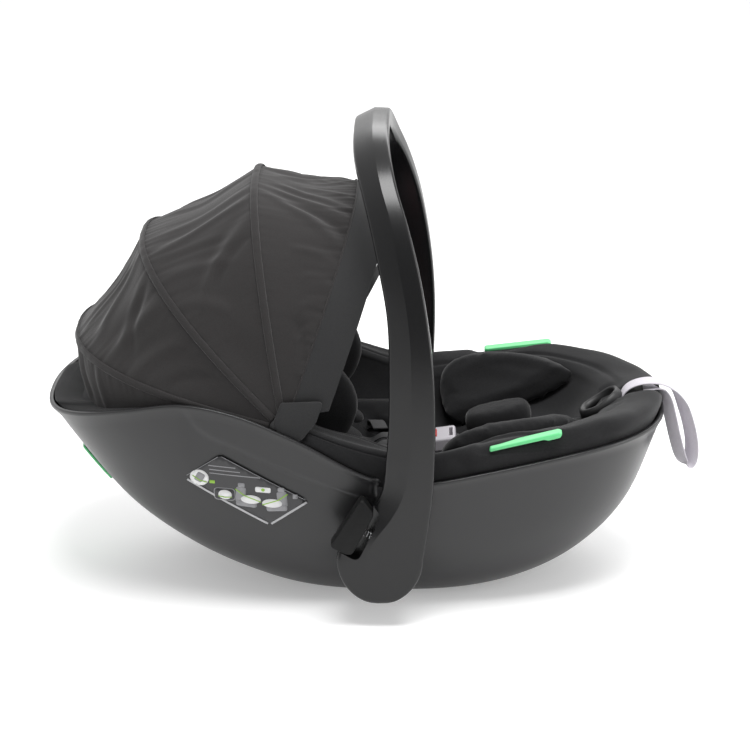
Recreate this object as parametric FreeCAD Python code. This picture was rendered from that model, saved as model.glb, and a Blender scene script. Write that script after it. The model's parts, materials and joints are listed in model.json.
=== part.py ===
"""Infant car seat: a boat-shaped shell with a folding canopy, a swinging carry handle,
a padded seat, a sliding headrest and a harness.

Frame: millimetres, +X towards the child's feet, +Y towards the child's left, +Z up.
The origin is the centre of the flat rest face under the shell.
"""

import FreeCAD, Part
import math
import os

from FreeCAD import Vector

PARTS = "parts"
SIDES = {"left": 1, "right": -1}

# ---------------------------------------------------------------- driving dimensions
# The hull's horizontal sections: height, head end x, foot end x, half width.
HULL = [
    (0, -108, 150, 106),
    (4, -130, 170, 119),
    (18, -168, 208, 137),
    (46, -222, 250, 158),
    (93, -284, 290, 177),
    (157, -336, 316, 191),
    (205, -370, 332, 197),
    (262, -408, 346, 199),
]
HULL_ROUND = 2.5  # exponent of the sections' superellipse
# The plastic rim seen from the side: x, height.
RIM = [
    (-440, 186),
    (-372, 200),
    (-330, 212),
    (-270, 229),
    (-205, 242),
    (-150, 234),
    (-84, 207),
    (0, 162),
    (30, 153),
    (65, 156),
    (130, 167),
    (190, 176),
    (260, 183),
    (324, 187),
    (400, 190),
]
WALL = 4.0
SLACK = 0.6  # clearance between nested bowls

# The hollow that the child lies in: height, head end x, foot end x, half width.
HOLLOW = [
    (96, -40, 66, 78),
    (104, -62, 92, 100),
    (118, -96, 140, 122),
    (134, -135, 196, 136),
    (152, -178, 238, 148),
    (170, -222, 262, 156),
    (214, -318, 284, 163),
    (300, -336, 292, 166),
]
FOAM = 30.0
COVER = 9.0  # thickness of the padded cover in the hollow
# The ridge that the adjuster's strap runs through: side view, half width.
RIDGE = [(92, 100), (92, 127), (108, 130), (122, 148.5), (262, 179.5), (275, 179.5), (275, 120)]
RIDGE_HALF = 21.0
# The padded roll's top seen from the side: x, height.
ROLL_TOP = [
    (-440, 190),
    (-372, 203),
    (-330, 215),
    (-205, 246),
    (-150, 239),
    (-84, 219),
    (0, 190),
    (40, 184),
    (90, 191),
    (150, 202),
    (230, 208),
    (324, 205),
    (400, 200),
]

# The carry handle.
PIVOT_X, PIVOT_Z = 10.0, 79.0
HUB_R = 49.0
HANDLE_OUT = 222.0  # half width over the handle's outside
HANDLE_TOP = 517.0
HANDLE_THICK = 22.0
HANDLE_ROUND = 3.3
# Side view of a leg: height, centre x, half width.
LEG = [
    (79, 9, 45),
    (106, 26, 35),
    (147, 37, 28.5),
    (192, 42, 26.3),
    (270, 43, 24.5),
    (347, 37, 21.8),
    (389, 28, 21.0),
    (440, 16, 20.3),
    (470, 6, 19.5),
    (502, -3, 19.7),
    (520, -5, 19.7),
]

# The canopy.
BOW_X, BOW_Z = -95.0, 216.0  # the pin that all the bows turn about
BOW_HALF = 186.0
BOW_ROUND = 2.5
# Bow name, angle above +X, height of the arch, place in the stack on the pin.
BOWS = [
    ("front_bow", 58.0, 231.0, 3),
    ("middle_bow", 99.0, 239.0, 2),
    ("back_bow", 134.0, 236.0, 1),
    ("rear_bow", 166.0, 247.0, 0),
]
BOW_THICK = 3.1
BOW_WIDE = 8.0
FABRIC = 1.6
FABRIC_HALF = 187.9
PIN_R = 4.0

# The headrest slides up this line.
BACK_SLOPE_DEG = 24.0

# The steel bars that the car base latches on.
BAR_X = (-84.0, 120.0)
BAR_R = 4.0
BAR_Z = 9.0

# The lap-belt guides: half length, centre of the left one, slope and toe-in.
GUIDE_HALF = 40.0
GUIDE_AT = (166.0, 169.0, 199.0)
GUIDE_SLOPE_DEG = 10.0
GUIDE_TOE_DEG = 11.0

# The handle's buttons: the direction they are pressed back along, their place, their size.
BUTTON_TURN_DEG = 150.0
BUTTON_OUT = 42.5
BUTTON_SHIFT = 16.0
BUTTON_HALF = (31.0, 9.0, 12.0)
SPRING_Y = 211.0

# The harness buckle and the strap adjuster.
BUCKLE = (66.0, 0.0, 139.0)
BUCKLE_TILT_DEG = -8.0
OUTLET = (266.0, 0.0, 183.0)
OUTLET_TILT_DEG = -12.5
# The pull loop's line, from inside the adjuster: x and z from the outlet.
LOOP = [
    (18, -24), (14.5, -8), (13, 8), (17, 19), (28, 26.5), (44, 30), (62, 28), (80, 12),
    (93, -26), (97, -56), (92, -72), (84, -66), (76, -38), (70, -12), (64, 12), (54, 23), (38, 21),
]
LOOP_TWIST = math.radians(-35)  # the hanging part turns towards the child's right


# ---------------------------------------------------------------- helpers
def spline_face_wire(points):
    """A closed wire through the points."""
    curve = Part.BSplineCurve()
    curve.interpolate(points, PeriodicFlag=True)
    return Part.Wire([curve.toShape()])


def power(value, exponent):
    return math.copysign(abs(value) ** exponent, value)


def ring(height, head, foot, half, exponent=HULL_ROUND, count=28):
    """A horizontal superellipse between two x values."""
    middle, reach = (head + foot) / 2, (foot - head) / 2
    points = []
    for i in range(count):
        angle = 2 * math.pi * (i + 0.5) / count
        x = middle + reach * power(math.cos(angle), 2 / exponent)
        y = half * power(math.sin(angle), 2 / exponent)
        points.append(Vector(x, y, height))
    return spline_face_wire(points)


bowls = {}


def bowl(sections, inset, lift=0.0, ruled=False):
    """A closed solid lofted through horizontal sections, drawn in by inset all round."""
    key = (sections[0][0], inset, lift)
    if key not in bowls:
        wires = [
            ring(height + lift, head + 1.3 * inset, foot - 1.25 * inset, half - inset)
            for height, head, foot, half in sections
        ]
        bowls[key] = Part.makeLoft(wires, True, ruled)
    return bowls[key]


def hollow(depth):
    """The hollow's space at a depth above the foam."""
    return bowl(HOLLOW, depth, depth, True)


def under(profile, drop=0.0, low=-60.0, half=320.0):
    """Everything under a side-view line, as a prism across the seat."""
    points = [Vector(x, -half, z - drop) for x, z in profile]
    line = Part.BSplineCurve()
    line.interpolate(points)
    first, last = points[0], points[-1]
    corners = [last, Vector(last.x, -half, low), Vector(first.x, -half, low), first]
    edges = [line.toShape()]
    for a, b in zip(corners, corners[1:]):
        edges.append(Part.makeLine(a, b))
    return Part.Face(Part.Wire(edges)).extrude(Vector(0, 2 * half, 0))


def box(x, y, z):
    """A block from its low and high values on each axis."""
    return Part.makeBox(
        x[1] - x[0], y[1] - y[0], z[1] - z[0], Vector(x[0], y[0], z[0])
    )


def across(radius, y0, y1, x, z):
    """A cylinder along Y."""
    low, high = min(y0, y1), max(y0, y1)
    return Part.makeCylinder(radius, high - low, Vector(x, low, z), Vector(0, 1, 0))


def slab(outline, y0, y1):
    """A side-view outline of (x, z) corners, extruded along Y."""
    low, high = min(y0, y1), max(y0, y1)
    points = [Vector(x, low, z) for x, z in outline]
    wire = Part.makePolygon(points + points[:1])
    return Part.Face(wire).extrude(Vector(0, high - low, 0))


def pillow(length, width, thick, exponent=2.6):
    """A flat cushion solid centred at the origin, crowned on both faces."""
    wires = []
    for share, height in ((0.80, -0.5), (0.97, -0.3), (1.0, 0.0), (0.97, 0.3), (0.80, 0.5)):
        wires.append(
            ring(height * thick, -share * length / 2, share * length / 2,
                 share * width / 2, exponent)
        )
    return Part.makeLoft(wires, True, False)


def placed(shape, at, turns=()):
    """A copy of shape, turned about each (axis, degrees) and then moved."""
    made = shape.copy()
    for axis, degrees in turns:
        made.rotate(Vector(0, 0, 0), Vector(*axis), degrees)
    made.translate(Vector(*at))
    return made


def rounded(shape, radius, edges=None):
    """The shape with all its edges, or the given ones, rounded."""
    return shape.makeFillet(radius, edges or shape.Edges)


def lookup(table, at, column):
    """Straight-line reading of a table whose first column rises."""
    for low, high in zip(table, table[1:]):
        if at <= high[0]:
            share = (at - low[0]) / (high[0] - low[0])
            return low[column] + max(0.0, share) * (high[column] - low[column])
    return table[-1][column]


made = {}


def keep(name, shape):
    made[name] = shape


# ---------------------------------------------------------------- shell
def outer_shell():
    inner = bowl(HULL, WALL).common(box((-500, 500), (-300, 300), (WALL, 400)))
    shell = bowl(HULL, 0).cut(inner).common(under(RIM))
    for sign in SIDES.values():
        boss = across(HUB_R - 6, sign * 150, sign * 195.5, PIVOT_X, PIVOT_Z).cut(inner)
        shell = shell.fuse(boss.fuse(across(16, sign * 160, sign * 190, PIVOT_X, PIVOT_Z)))
        shell = shell.cut(across(8.05, sign * 120, sign * 300, PIVOT_X, PIVOT_Z))
    # The hook pockets that the car base grips, front and rear.
    for x in BAR_X:
        shell = shell.cut(box((x - 13, x + 13), (-34, 34), (-1, WALL + 12)))
    return shell.removeSplitter()


def base_bars():
    """The two steel bars that the car base latches on, each in its pocket housing."""
    bars, housings = [], []
    for x in BAR_X:
        housing = box((x - 16, x + 16), (-37, 37), (WALL + 0.2, 24))
        housing = housing.cut(box((x - 12.5, x + 12.5), (-33.5, 33.5), (-1, 20)))
        housings.append(housing.cut(across(BAR_R, -36, 36, x, BAR_Z)))
        bars.append(across(BAR_R, -35.9, 35.9, x, BAR_Z))
    keep("latch_bars", Part.makeCompound(bars))
    keep("latch_housings", Part.makeCompound(housings))


def foam_liner():
    """The energy-absorbing foam between the shell and the hollow."""
    block = bowl(HULL, WALL + SLACK).common(under(RIM, 9)).common(hollow(-FOAM))
    for sign in SIDES.values():
        low, high = sorted((sign * 186, sign * 205))
        block = block.cut(across(20, sign * 140, sign * 200, PIVOT_X, PIVOT_Z))
        block = block.cut(box((BOW_X - 17, BOW_X + 17), (low, high), (179, 262)))
        block = block.cut(guide_body(sign, 0.6))
    return block.cut(hollow(0))


def seat_cover():
    """The quilted cover: a roll over the rim and a lining down into the hollow."""
    lining = hollow(0.5).common(under(RIM, 8.2)).cut(hollow(COVER))
    roll = bowl(HULL, WALL + SLACK).common(under(ROLL_TOP)).cut(under(RIM, 8.4))
    roll = roll.cut(hollow(COVER))
    # Room for the canopy, its brackets and the belt guides.
    roll = roll.cut(canopy_sector(257, BOW_HALF + 1.5, 0, 28, 50, 130, 16.0))
    for sign in SIDES.values():
        low, high = sorted((sign * 164, sign * 205))
        roll = roll.cut(box((BOW_X - 24, BOW_X + 24), (low, high), (170, 262)))
        roll = roll.cut(guide_body(sign, 0.6))
    return roll.fuse(lining)


def guide_body(sign, grow=0.0):
    """A lap-belt hook: a long lip over a stem that stands inside the rim."""
    half, reach = 7.0 + grow, GUIDE_HALF + grow
    lip = box((-reach, reach), (-half, half), (-3 - grow, 3 + grow))
    stem = box((18 - grow, 34 + grow), (-half, half - 7), (-40 - grow, 0))
    toe = box((-30, 18), (-half, half - 7), (-40 - grow, -33 + grow))
    placed_parts = []
    for piece in (lip, stem.fuse(toe)):
        turns = (((0, 1, 0), -GUIDE_SLOPE_DEG), ((0, 0, 1), -GUIDE_TOE_DEG))
        piece = placed(piece, (0, 0, 0), turns)
        if sign < 0:
            piece = piece.mirror(Vector(0, 0, 0), Vector(0, 1, 0))
        piece.translate(Vector(GUIDE_AT[0], sign * GUIDE_AT[1], GUIDE_AT[2]))
        placed_parts.append(piece)
    lip, stem = placed_parts
    return lip.fuse(stem.common(bowl(HULL, WALL + 0.4 - min(grow, 0.2))))


def rear_guide():
    """The shoulder-belt hook on the back of the shell."""
    plate = slab([(-352, 148), (-345, 152), (-300, 101), (-306, 96)], -40, 40)
    foot = slab([(-333, 140), (-322, 138), (-304, 108), (-308, 104)], -14, 14)
    hook = plate.fuse(foot)
    hook = hook.cut(slab([(-346, 149), (-300, 97), (-280, 97), (-280, 180)], -60, -14))
    hook = hook.cut(slab([(-346, 149), (-300, 97), (-280, 97), (-280, 180)], 14, 60))
    return hook.cut(bowl(HULL, -0.4))


# ---------------------------------------------------------------- handle
def arch_point(angle, drop):
    """A point on the handle's outline, drop inside its outer face, seen from the front."""
    reach = HANDLE_OUT - drop
    rise = HANDLE_TOP - PIVOT_Z - drop
    y = -reach * power(math.cos(angle), 2 / HANDLE_ROUND)
    z = PIVOT_Z + rise * abs(math.sin(angle)) ** (2 / HANDLE_ROUND)
    return y, z


def handle_section(angle, count=20):
    """One closed section of the handle at an angle from 0 (right hub) to pi (left hub)."""
    y, z = arch_point(angle, HANDLE_THICK / 2)
    step = 0.004
    y0, z0 = arch_point(max(0.0, angle - step), HANDLE_THICK / 2)
    y1, z1 = arch_point(min(math.pi, angle + step), HANDLE_THICK / 2)
    length = math.hypot(y1 - y0, z1 - z0)
    out_y, out_z = -(z1 - z0) / length, (y1 - y0) / length
    centre, half = lookup(LEG, z, 1), lookup(LEG, z, 2)
    points = []
    for i in range(count):
        turn = 2 * math.pi * (i + 0.5) / count
        x = centre + half * power(math.cos(turn), 2 / 2.8)
        out = HANDLE_THICK / 2 * power(math.sin(turn), 2 / 2.8)
        points.append(Vector(x, y + out * out_y, z + out * out_z))
    return spline_face_wire(points)


def handle_stations():
    """Angles whose points are spread evenly along the arch."""
    fine = [math.pi * i / 2000 for i in range(2001)]
    along = [0.0]
    for a, b in zip(fine, fine[1:]):
        ya, za = arch_point(a, HANDLE_THICK / 2)
        yb, zb = arch_point(b, HANDLE_THICK / 2)
        along.append(along[-1] + math.hypot(yb - ya, zb - za))
    stations, count = [], 30
    for i in range(count + 1):
        want = along[-1] * i / count
        k = min(range(len(along)), key=lambda n: abs(along[n] - want))
        stations.append(fine[k])
    return stations


def at_button(shape, sign, out, y):
    """Places a shape whose +Z is the button's outward direction."""
    turn = math.radians(BUTTON_TURN_DEG)
    shape.rotate(Vector(0, 0, 0), Vector(0, 1, 0), 90 - BUTTON_TURN_DEG)
    x = PIVOT_X + out * math.cos(turn) + BUTTON_SHIFT * math.sin(turn)
    z = PIVOT_Z + out * math.sin(turn) - BUTTON_SHIFT * math.cos(turn)
    shape.translate(Vector(x, sign * y, z))
    return shape


def button_block(sign, grow=0.0, lift=0.0):
    """A handle button: a block at the hub's upper rim, pressed towards the leg."""
    sides = [(-half - grow, half + grow) for half in BUTTON_HALF]
    body = box(*sides)
    if not grow:
        body = rounded(body, 3.0)
    return at_button(body, sign, BUTTON_OUT + lift, 213)


def handle():
    arch = Part.makeLoft([handle_section(a) for a in handle_stations()], True, False)
    for sign in SIDES.values():
        hub = across(HUB_R, sign * 200, sign * 222, PIVOT_X, PIVOT_Z)
        arch = arch.fuse(rounded(hub, 5.0))
        arch = arch.cut(across(8.05, sign * 190, sign * 214, PIVOT_X, PIVOT_Z))
        for lift in (0.0, -4.0, -8.0):
            arch = arch.cut(button_block(sign, 0.5, lift))
        arch = arch.cut(spring_room(sign, 5.6))
    return arch.removeSplitter()


def spring_room(sign, radius):
    """The bore behind a handle button that holds its spring."""
    return at_button(Part.makeCylinder(radius, 24), sign, 9, SPRING_Y)


def button_spring(sign):
    """A compression spring, as a helix of round wire, under a handle button."""
    radius, wire, pitch, height = 3.8, 0.5, 3.4, 19.0
    helix = Part.makeHelix(pitch, height, radius)
    profile = Part.Wire([Part.makeCircle(wire, Vector(radius, 0, 0), Vector(0, 1, 0))])
    coil = Part.Wire(helix.Edges).makePipeShell([profile], True, True)
    return at_button(coil, sign, 10, SPRING_Y)


def pivot_pin(sign):
    """A stepped steel pin through the shell's boss into the handle's hub."""
    shaft = across(8.0, sign * 160, sign * 213.5, PIVOT_X, PIVOT_Z)
    head = across(12.0, sign * 155.5, sign * 160, PIVOT_X, PIVOT_Z)
    return shaft.fuse(head)


# ---------------------------------------------------------------- canopy
def arch_profile(rise, half, outer, inner, foot):
    """The area between two arches in the XY plane's +X half, from foot up."""
    count = 24
    lines = []
    for inset in (outer, inner):
        points = []
        for i in range(count + 1):
            angle = math.pi * i / count
            y = -(half - inset) * power(math.cos(angle), 2 / BOW_ROUND)
            x = (rise - inset) * abs(math.sin(angle)) ** (2 / BOW_ROUND)
            points.append(Vector(x, y, 0))
        curve = Part.BSplineCurve()
        curve.interpolate(points)
        lines.append(curve.toShape())
    first = Part.makeLine(lines[0].valueAt(lines[0].FirstParameter),
                          lines[1].valueAt(lines[1].FirstParameter))
    last = Part.makeLine(lines[0].valueAt(lines[0].LastParameter),
                         lines[1].valueAt(lines[1].LastParameter))
    face = Part.Face(Part.Wire(Part.__sortEdges__([lines[0], last, lines[1], first])))
    keep_area = Part.makePlane(500, 600, Vector(foot, -300, 0))
    return face.common(keep_area)


def canopy_sector(rise, half, outer, inner, start, sweep, foot=22.0):
    """The arch's area turned about the bows' pin from one angle through another."""
    face = arch_profile(rise, half, outer, inner, foot)
    face.rotate(Vector(0, 0, 0), Vector(0, 1, 0), -start)
    solid = face.revolve(Vector(0, 0, 0), Vector(0, 1, 0), -sweep)
    solid.translate(Vector(BOW_X, 0, BOW_Z))
    return solid


def bow(name, degrees, rise, place):
    """One canopy bow: a flat arch whose ends are eyes on the pins."""
    half = BOW_HALF - 3.4 * (3 - place)
    span = math.degrees(BOW_WIDE / rise)
    arch = canopy_sector(rise - 2.4, half, 0, BOW_THICK, degrees - span / 2, span, 14.0)
    for sign in SIDES.values():
        y_out = sign * (half - 0.1)
        y_in = sign * (half - 3.1)
        eye = across(9.0, y_in, y_out, 0, 0)
        low, high = sorted((y_in, sign * (half - 0.6)))
        arm = box((0, 30), (low, high), (-4, 4))
        end = eye.fuse(arm)
        end.rotate(Vector(0, 0, 0), Vector(0, 1, 0), -degrees)
        end.translate(Vector(BOW_X, 0, BOW_Z))
        arch = arch.fuse(end)
    for sign in SIDES.values():
        arch = arch.cut(across(PIN_R + 0.05, sign * 150, sign * 200, BOW_X, BOW_Z))
    return arch.removeSplitter()


def canopy():
    for name, degrees, rise, place in BOWS:
        keep(name, bow(name, degrees, rise, place))
    gap = 2.4
    roll = bowl(HULL, -6).common(under(ROLL_TOP, -2.5))
    names = ("canopy_front_panel", "canopy_middle_panel", "canopy_back_panel")
    for name, ahead, behind in zip(names, BOWS, BOWS[1:]):
        rise = (ahead[2] + behind[2]) / 2
        start = ahead[1] + gap
        sweep = behind[1] - ahead[1] - 2 * gap
        keep(name, canopy_sector(rise, FABRIC_HALF, 0.2, FABRIC, start, sweep))
    made[names[2]] = made[names[2]].cut(roll)
    hem = canopy_sector(BOWS[0][2], FABRIC_HALF, 0.2, FABRIC, BOWS[0][1] - 3, 5.2)
    keep("canopy_hem", hem)
    tail = canopy_sector(BOWS[3][2], FABRIC_HALF, 0.2, FABRIC, BOWS[3][1] + gap, 11, 60)
    keep("canopy_rear_panel", tail.cut(roll))
    for side, sign in SIDES.items():
        bracket = box((BOW_X - 16, BOW_X + 16),
                      (min(sign * 187, sign * 200), max(sign * 187, sign * 200)), (180, 211))
        bracket = bracket.fuse(across(16, sign * 187, sign * 190.4, BOW_X, BOW_Z))
        bracket = bracket.cut(across(PIN_R, sign * 180, sign * 200, BOW_X, BOW_Z))
        keep(f"canopy_bracket_{side}", bracket.common(bowl(HULL, WALL)))
        pin = across(PIN_R, sign * 171, sign * 190.4, BOW_X, BOW_Z)
        keep(f"canopy_pin_{side}", pin.fuse(across(7, sign * 168.6, sign * 171, BOW_X, BOW_Z)))


# ---------------------------------------------------------------- padding
def slope(along, out, y=0.0):
    """A point measured up the backrest and square out from it."""
    turn = math.radians(BACK_SLOPE_DEG)
    x = -62 - along * math.cos(turn) + out * math.sin(turn)
    return Vector(x, y, 104 + along * math.sin(turn) + out * math.cos(turn))


def slope_block(along, out, y):
    """A block square to the backrest."""
    block = box((-along[1], -along[0]), y, out)
    block.rotate(Vector(0, 0, 0), Vector(0, 1, 0), BACK_SLOPE_DEG)
    block.translate(slope(0, 0))
    return block


def layer(near, far):
    """The space between two depths of padding in the hollow."""
    return hollow(near).cut(hollow(far))


def oval(x, z, reach, rise, y0, y1, exponent=2.3, tilt=0.0):
    """A superellipse seen from the side, extruded along Y and tilted about its centre."""
    points = []
    for i in range(24):
        turn = 2 * math.pi * (i + 0.5) / 24
        points.append(
            Vector(reach * power(math.cos(turn), 2 / exponent), min(y0, y1),
                   rise * power(math.sin(turn), 2 / exponent))
        )
    body = Part.Face(spline_face_wire(points)).extrude(Vector(0, abs(y1 - y0), 0))
    body.rotate(Vector(0, 0, 0), Vector(0, 1, 0), tilt)
    body.translate(Vector(x, 0, z))
    return body


def body_insert():
    base = layer(COVER + 0.8, COVER + 12)
    for side, sign in SIDES.items():
        shape = oval(163, 162, 90, 45, sign * 84, sign * 180)
        keep(f"insert_wing_{side}", layer(COVER + 0.8, COVER + 15).common(shape))
    base = base.common(box((-66, 64), (-170, 170), (60, 152)))
    for sign in SIDES.values():
        low, high = sorted((sign * 70, sign * 92))
        base = base.cut(box((-12, 14), (low, high), (60, 160)))
    keep("body_insert", base)
    for side, sign in SIDES.items():
        pad = placed(pillow(78, 48, 30), (142, sign * 56, 148), (((0, 1, 0), -13),))
        keep(f"thigh_pad_{side}", pad.cut(made["seat_cover"]))


def headrest():
    """The sliding headrest: a plastic back plate, a pad, two wings and a squeeze lever."""
    plate = slope_block((40, 196), (17, 21), (-56, 56))
    plate = plate.cut(slope_block((160, 184), (10, 30), (-40, 40)))
    keep("headrest_plate", plate)
    keep("headrest_lever", slope_block((163, 181), (15.5, 27), (-34, 34)))
    pad = pillow(132, 176, 22)
    pad.rotate(Vector(0, 0, 0), Vector(0, 1, 0), BACK_SLOPE_DEG)
    pad.translate(slope(92, 34))
    for sign in SIDES.values():
        pad = pad.cut(slope_block((60, 66), (10, 60), (sign * 38 - 15, sign * 38 + 15)))
    keep("headrest_pad", pad)
    for side, sign in SIDES.items():
        wing = oval(0, 0, 100, 62, sign * 89, sign * 112, 2.4, BACK_SLOPE_DEG)
        wing.translate(slope(100, 98))
        keep(f"headrest_wing_{side}", rounded(wing, 8.0))


# ---------------------------------------------------------------- harness
def ribbon(path, width, thick=1.6):
    """A flat strap through (point, width direction) stations, as flat triangles."""
    rings = []
    for i, (point, wide) in enumerate(path):
        before = path[max(0, i - 1)][0]
        after = path[min(len(path) - 1, i + 1)][0]
        along = (after - before).normalize()
        wide = Vector(*wide).normalize()
        normal = along.cross(wide).normalize()
        w, t = wide * (width / 2), normal * (thick / 2)
        rings.append([point + w + t, point - w + t, point - w - t, point + w - t])
    triangles = []
    for end in (rings[0], rings[-1]):
        triangles += [(end[0], end[1], end[2]), (end[0], end[2], end[3])]
    for a, b in zip(rings, rings[1:]):
        for k in range(4):
            n = (k + 1) % 4
            triangles += [(a[k], a[n], b[n]), (a[k], b[n], b[k])]
    skin = Part.makeCompound([Part.Face(Part.makePolygon([*t, t[0]])) for t in triangles])
    skin.sewShape()
    solid = Part.makeSolid(skin.Shells[0])
    return solid if solid.Volume > 0 else solid.reversed()


def at_buckle(shape):
    shape.rotate(Vector(0, 0, 0), Vector(0, 1, 0), BUCKLE_TILT_DEG)
    shape.translate(Vector(*BUCKLE))
    return shape


def buckle():
    body = rounded(box((-27, 27), (-22, 22), (-8, 8)), 3.0)
    body = body.cut(box((-18, 6), (-12, 12), (1, 20)))
    body = body.cut(box((-40, -3), (-15, 15), (-4.5, -0.5)))
    body = body.cut(box((20, 24), (-13.5, 13.5), (-20, 20)))
    keep("buckle_body", at_buckle(body))
    button = rounded(box((-17.6, 5.6), (-11.6, 11.6), (5.6, 9.6)), 1.0)
    keep("buckle_button", at_buckle(button))
    for side, sign in SIDES.items():
        low, high = sorted((sign * 0.4, sign * 13.5))
        blade = box((-44, -6), (low, high), (-3.6, -1.6))
        low, high = sorted((sign * 0.4, sign * 24))
        head = rounded(box((-54, -29.5), (low, high), (-6, 4)), 2.0)
        head = head.cut(box((-46, -42), (low - 1, high + 1), (-20, 20)).common(
            box((-60, 0), sorted((sign * 4, sign * 21)), (-30, 30))))
        keep(f"buckle_tongue_{side}", at_buckle(head.fuse(blade)))


def harness():
    turn = math.radians(BUCKLE_TILT_DEG)

    def near(x, y, z):
        return Vector(
            BUCKLE[0] + x * math.cos(turn) + z * math.sin(turn), y,
            BUCKLE[2] - x * math.sin(turn) + z * math.cos(turn),
        )

    for side, sign in SIDES.items():
        flat = (0, 1, 0)
        top = [
            (slope(63, 22, sign * 38), flat),
            (slope(63, 46, sign * 38), flat),
            (slope(52, 51, sign * 37), flat),
            (slope(10, 52, sign * 32), flat),
            (slope(-40, 46, sign * 24), flat),
            (near(-55, sign * 13, 9), flat),
            (near(-45, sign * 12.5, 8), flat),
        ]
        keep(f"shoulder_strap_{side}", ribbon(top, 17))
        pad = pillow(90, 40, 12)
        pad.rotate(Vector(0, 0, 0), Vector(0, 1, 0), BACK_SLOPE_DEG)
        pad.rotate(Vector(0, 0, 0), Vector(0, 0, 1), sign * 7)
        pad.translate(slope(19, 63, sign * 32.5))
        keep(f"shoulder_pad_{side}", pad)
        hip = [
            (Vector(-2, sign * 84, 127), (1, 0, 0)),
            (Vector(-2, sign * 74, 136), (1, 0, 0)),
            (Vector(2, sign * 50, 143), (1, 0, 0)),
            (Vector(6, sign * 28, 143), (1, 0, 0)),
        ]
        keep(f"hip_strap_{side}", ribbon(hip, 17))
    crotch = [
        (Vector(103, 0, 128), (0, 1, 0)),
        (Vector(99, 0, 137), (0, 1, 0)),
        (near(28.5, 0, 0), (0, 1, 0)),
    ]
    keep("crotch_strap", ribbon(crotch, 24, 2.2))


def at_outlet(shape):
    shape.rotate(Vector(0, 0, 0), Vector(0, 1, 0), OUTLET_TILT_DEG)
    shape.translate(Vector(*OUTLET))
    return shape


def adjuster():
    flap = pillow(140, 44, 9)
    flap.rotate(Vector(0, 0, 0), Vector(0, 1, 0), OUTLET_TILT_DEG)
    flap.translate(Vector(169, 0, 161))
    ridge = slab(RIDGE, -RIDGE_HALF, RIDGE_HALF).common(hollow(COVER + 0.4))
    keep("adjuster_flap", flap.fuse(ridge).cut(pockets()))
    collar = oval_ring(27, 22, 18.5, 14, -7, 5)
    keep("strap_collar", at_outlet(collar))
    housing = box((-19, 19), (-16, 16), (-36, -7.2))
    housing = housing.cut(box((-9.5, 9.5), (-8.5, 8.5), (-22, 0)))
    housing = housing.cut(box((11.5, 14.5), (-13, 13), (-30, 0)))
    keep("adjuster_housing", at_outlet(housing))
    button = box((-9, 9), (-8, 8), (-15, -2))
    keep("adjuster_button", at_outlet(rounded(button, 1.5)))
    strap = []
    for i, (x, z) in enumerate(LOOP):
        twist = LOOP_TWIST * min(1.0, max(0.0, (i - 4) / 4))
        point = Vector(OUTLET[0] + x, 0, OUTLET[2] + z)
        strap.append((point, (math.sin(twist), math.cos(twist), 0)))
    keep("pull_loop", ribbon(strap, 24))


def oval_ring(reach, half, hole_reach, hole_half, low, high):
    """An upright oval ring about the origin."""
    outer = Part.Face(ring(low, -reach, reach, half, 2.3)).extrude(Vector(0, 0, high - low))
    hole = Part.Face(ring(low - 5, -hole_reach, hole_reach, hole_half, 3.5))
    return rounded(outer, 3.0).cut(hole.extrude(Vector(0, 0, high - low + 10)))


def label():
    """The sticker on the shell's right flank."""
    skin = bowl(HULL, -0.55).cut(bowl(HULL, -0.06))
    area = slab([(-204, 155), (-165, 185), (-69, 133), (-111, 101)], -250, -60)
    return skin.common(rounded(area, 8.0, [e for e in area.Edges if is_along_y(e)]))


def is_along_y(edge):
    ends = [v.Point for v in edge.Vertexes]
    return len(ends) == 2 and abs(ends[0].y - ends[1].y) > 50


def pockets():
    """Room in the foam and the cover for the pieces set into them."""
    room = at_outlet(box((-20, 20), (-17, 17), (-37, 20)))
    ring_room = at_outlet(Part.Face(ring(-8, -28, 28, 23, 2.3)).extrude(Vector(0, 0, 30)))
    room = room.fuse(ring_room)
    room = room.fuse(box((99, 110), (-14, 14), (118, 150)))
    # The pull loop's channel over the roll.
    channel = [(274, 186), (292, 200), (308, 200), (315, 190), (345, 188), (345, 232), (274, 232)]
    return room.fuse(slab(channel, -14, 14))


# ---------------------------------------------------------------- build
def build():
    keep("outer_shell", outer_shell())
    base_bars()
    room = pockets()
    keep("foam_liner", foam_liner().cut(room))
    keep("seat_cover", seat_cover().cut(room))
    for side, sign in SIDES.items():
        keep(f"belt_guide_{side}", guide_body(sign))
        keep(f"handle_pin_{side}", pivot_pin(sign))
        keep(f"handle_button_{side}", button_block(sign))
        keep(f"button_spring_{side}", button_spring(sign))
    keep("rear_belt_guide", rear_guide())
    keep("handle", handle())
    keep("label", label())
    canopy()
    body_insert()
    headrest()
    buckle()
    harness()
    adjuster()


build()
os.makedirs(PARTS, exist_ok=True)
for name, shape in made.items():
    shape.exportStep(f"{PARTS}/{name}.step")
    print(name, shape.ShapeType, len(shape.Solids), shape.isValid(), round(shape.Volume))
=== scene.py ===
"""Looks of the infant car seat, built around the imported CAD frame.

Sizes below are millimetres in the row frame: +X towards the child's feet, +Z up.
"""

import json
import math

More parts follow.
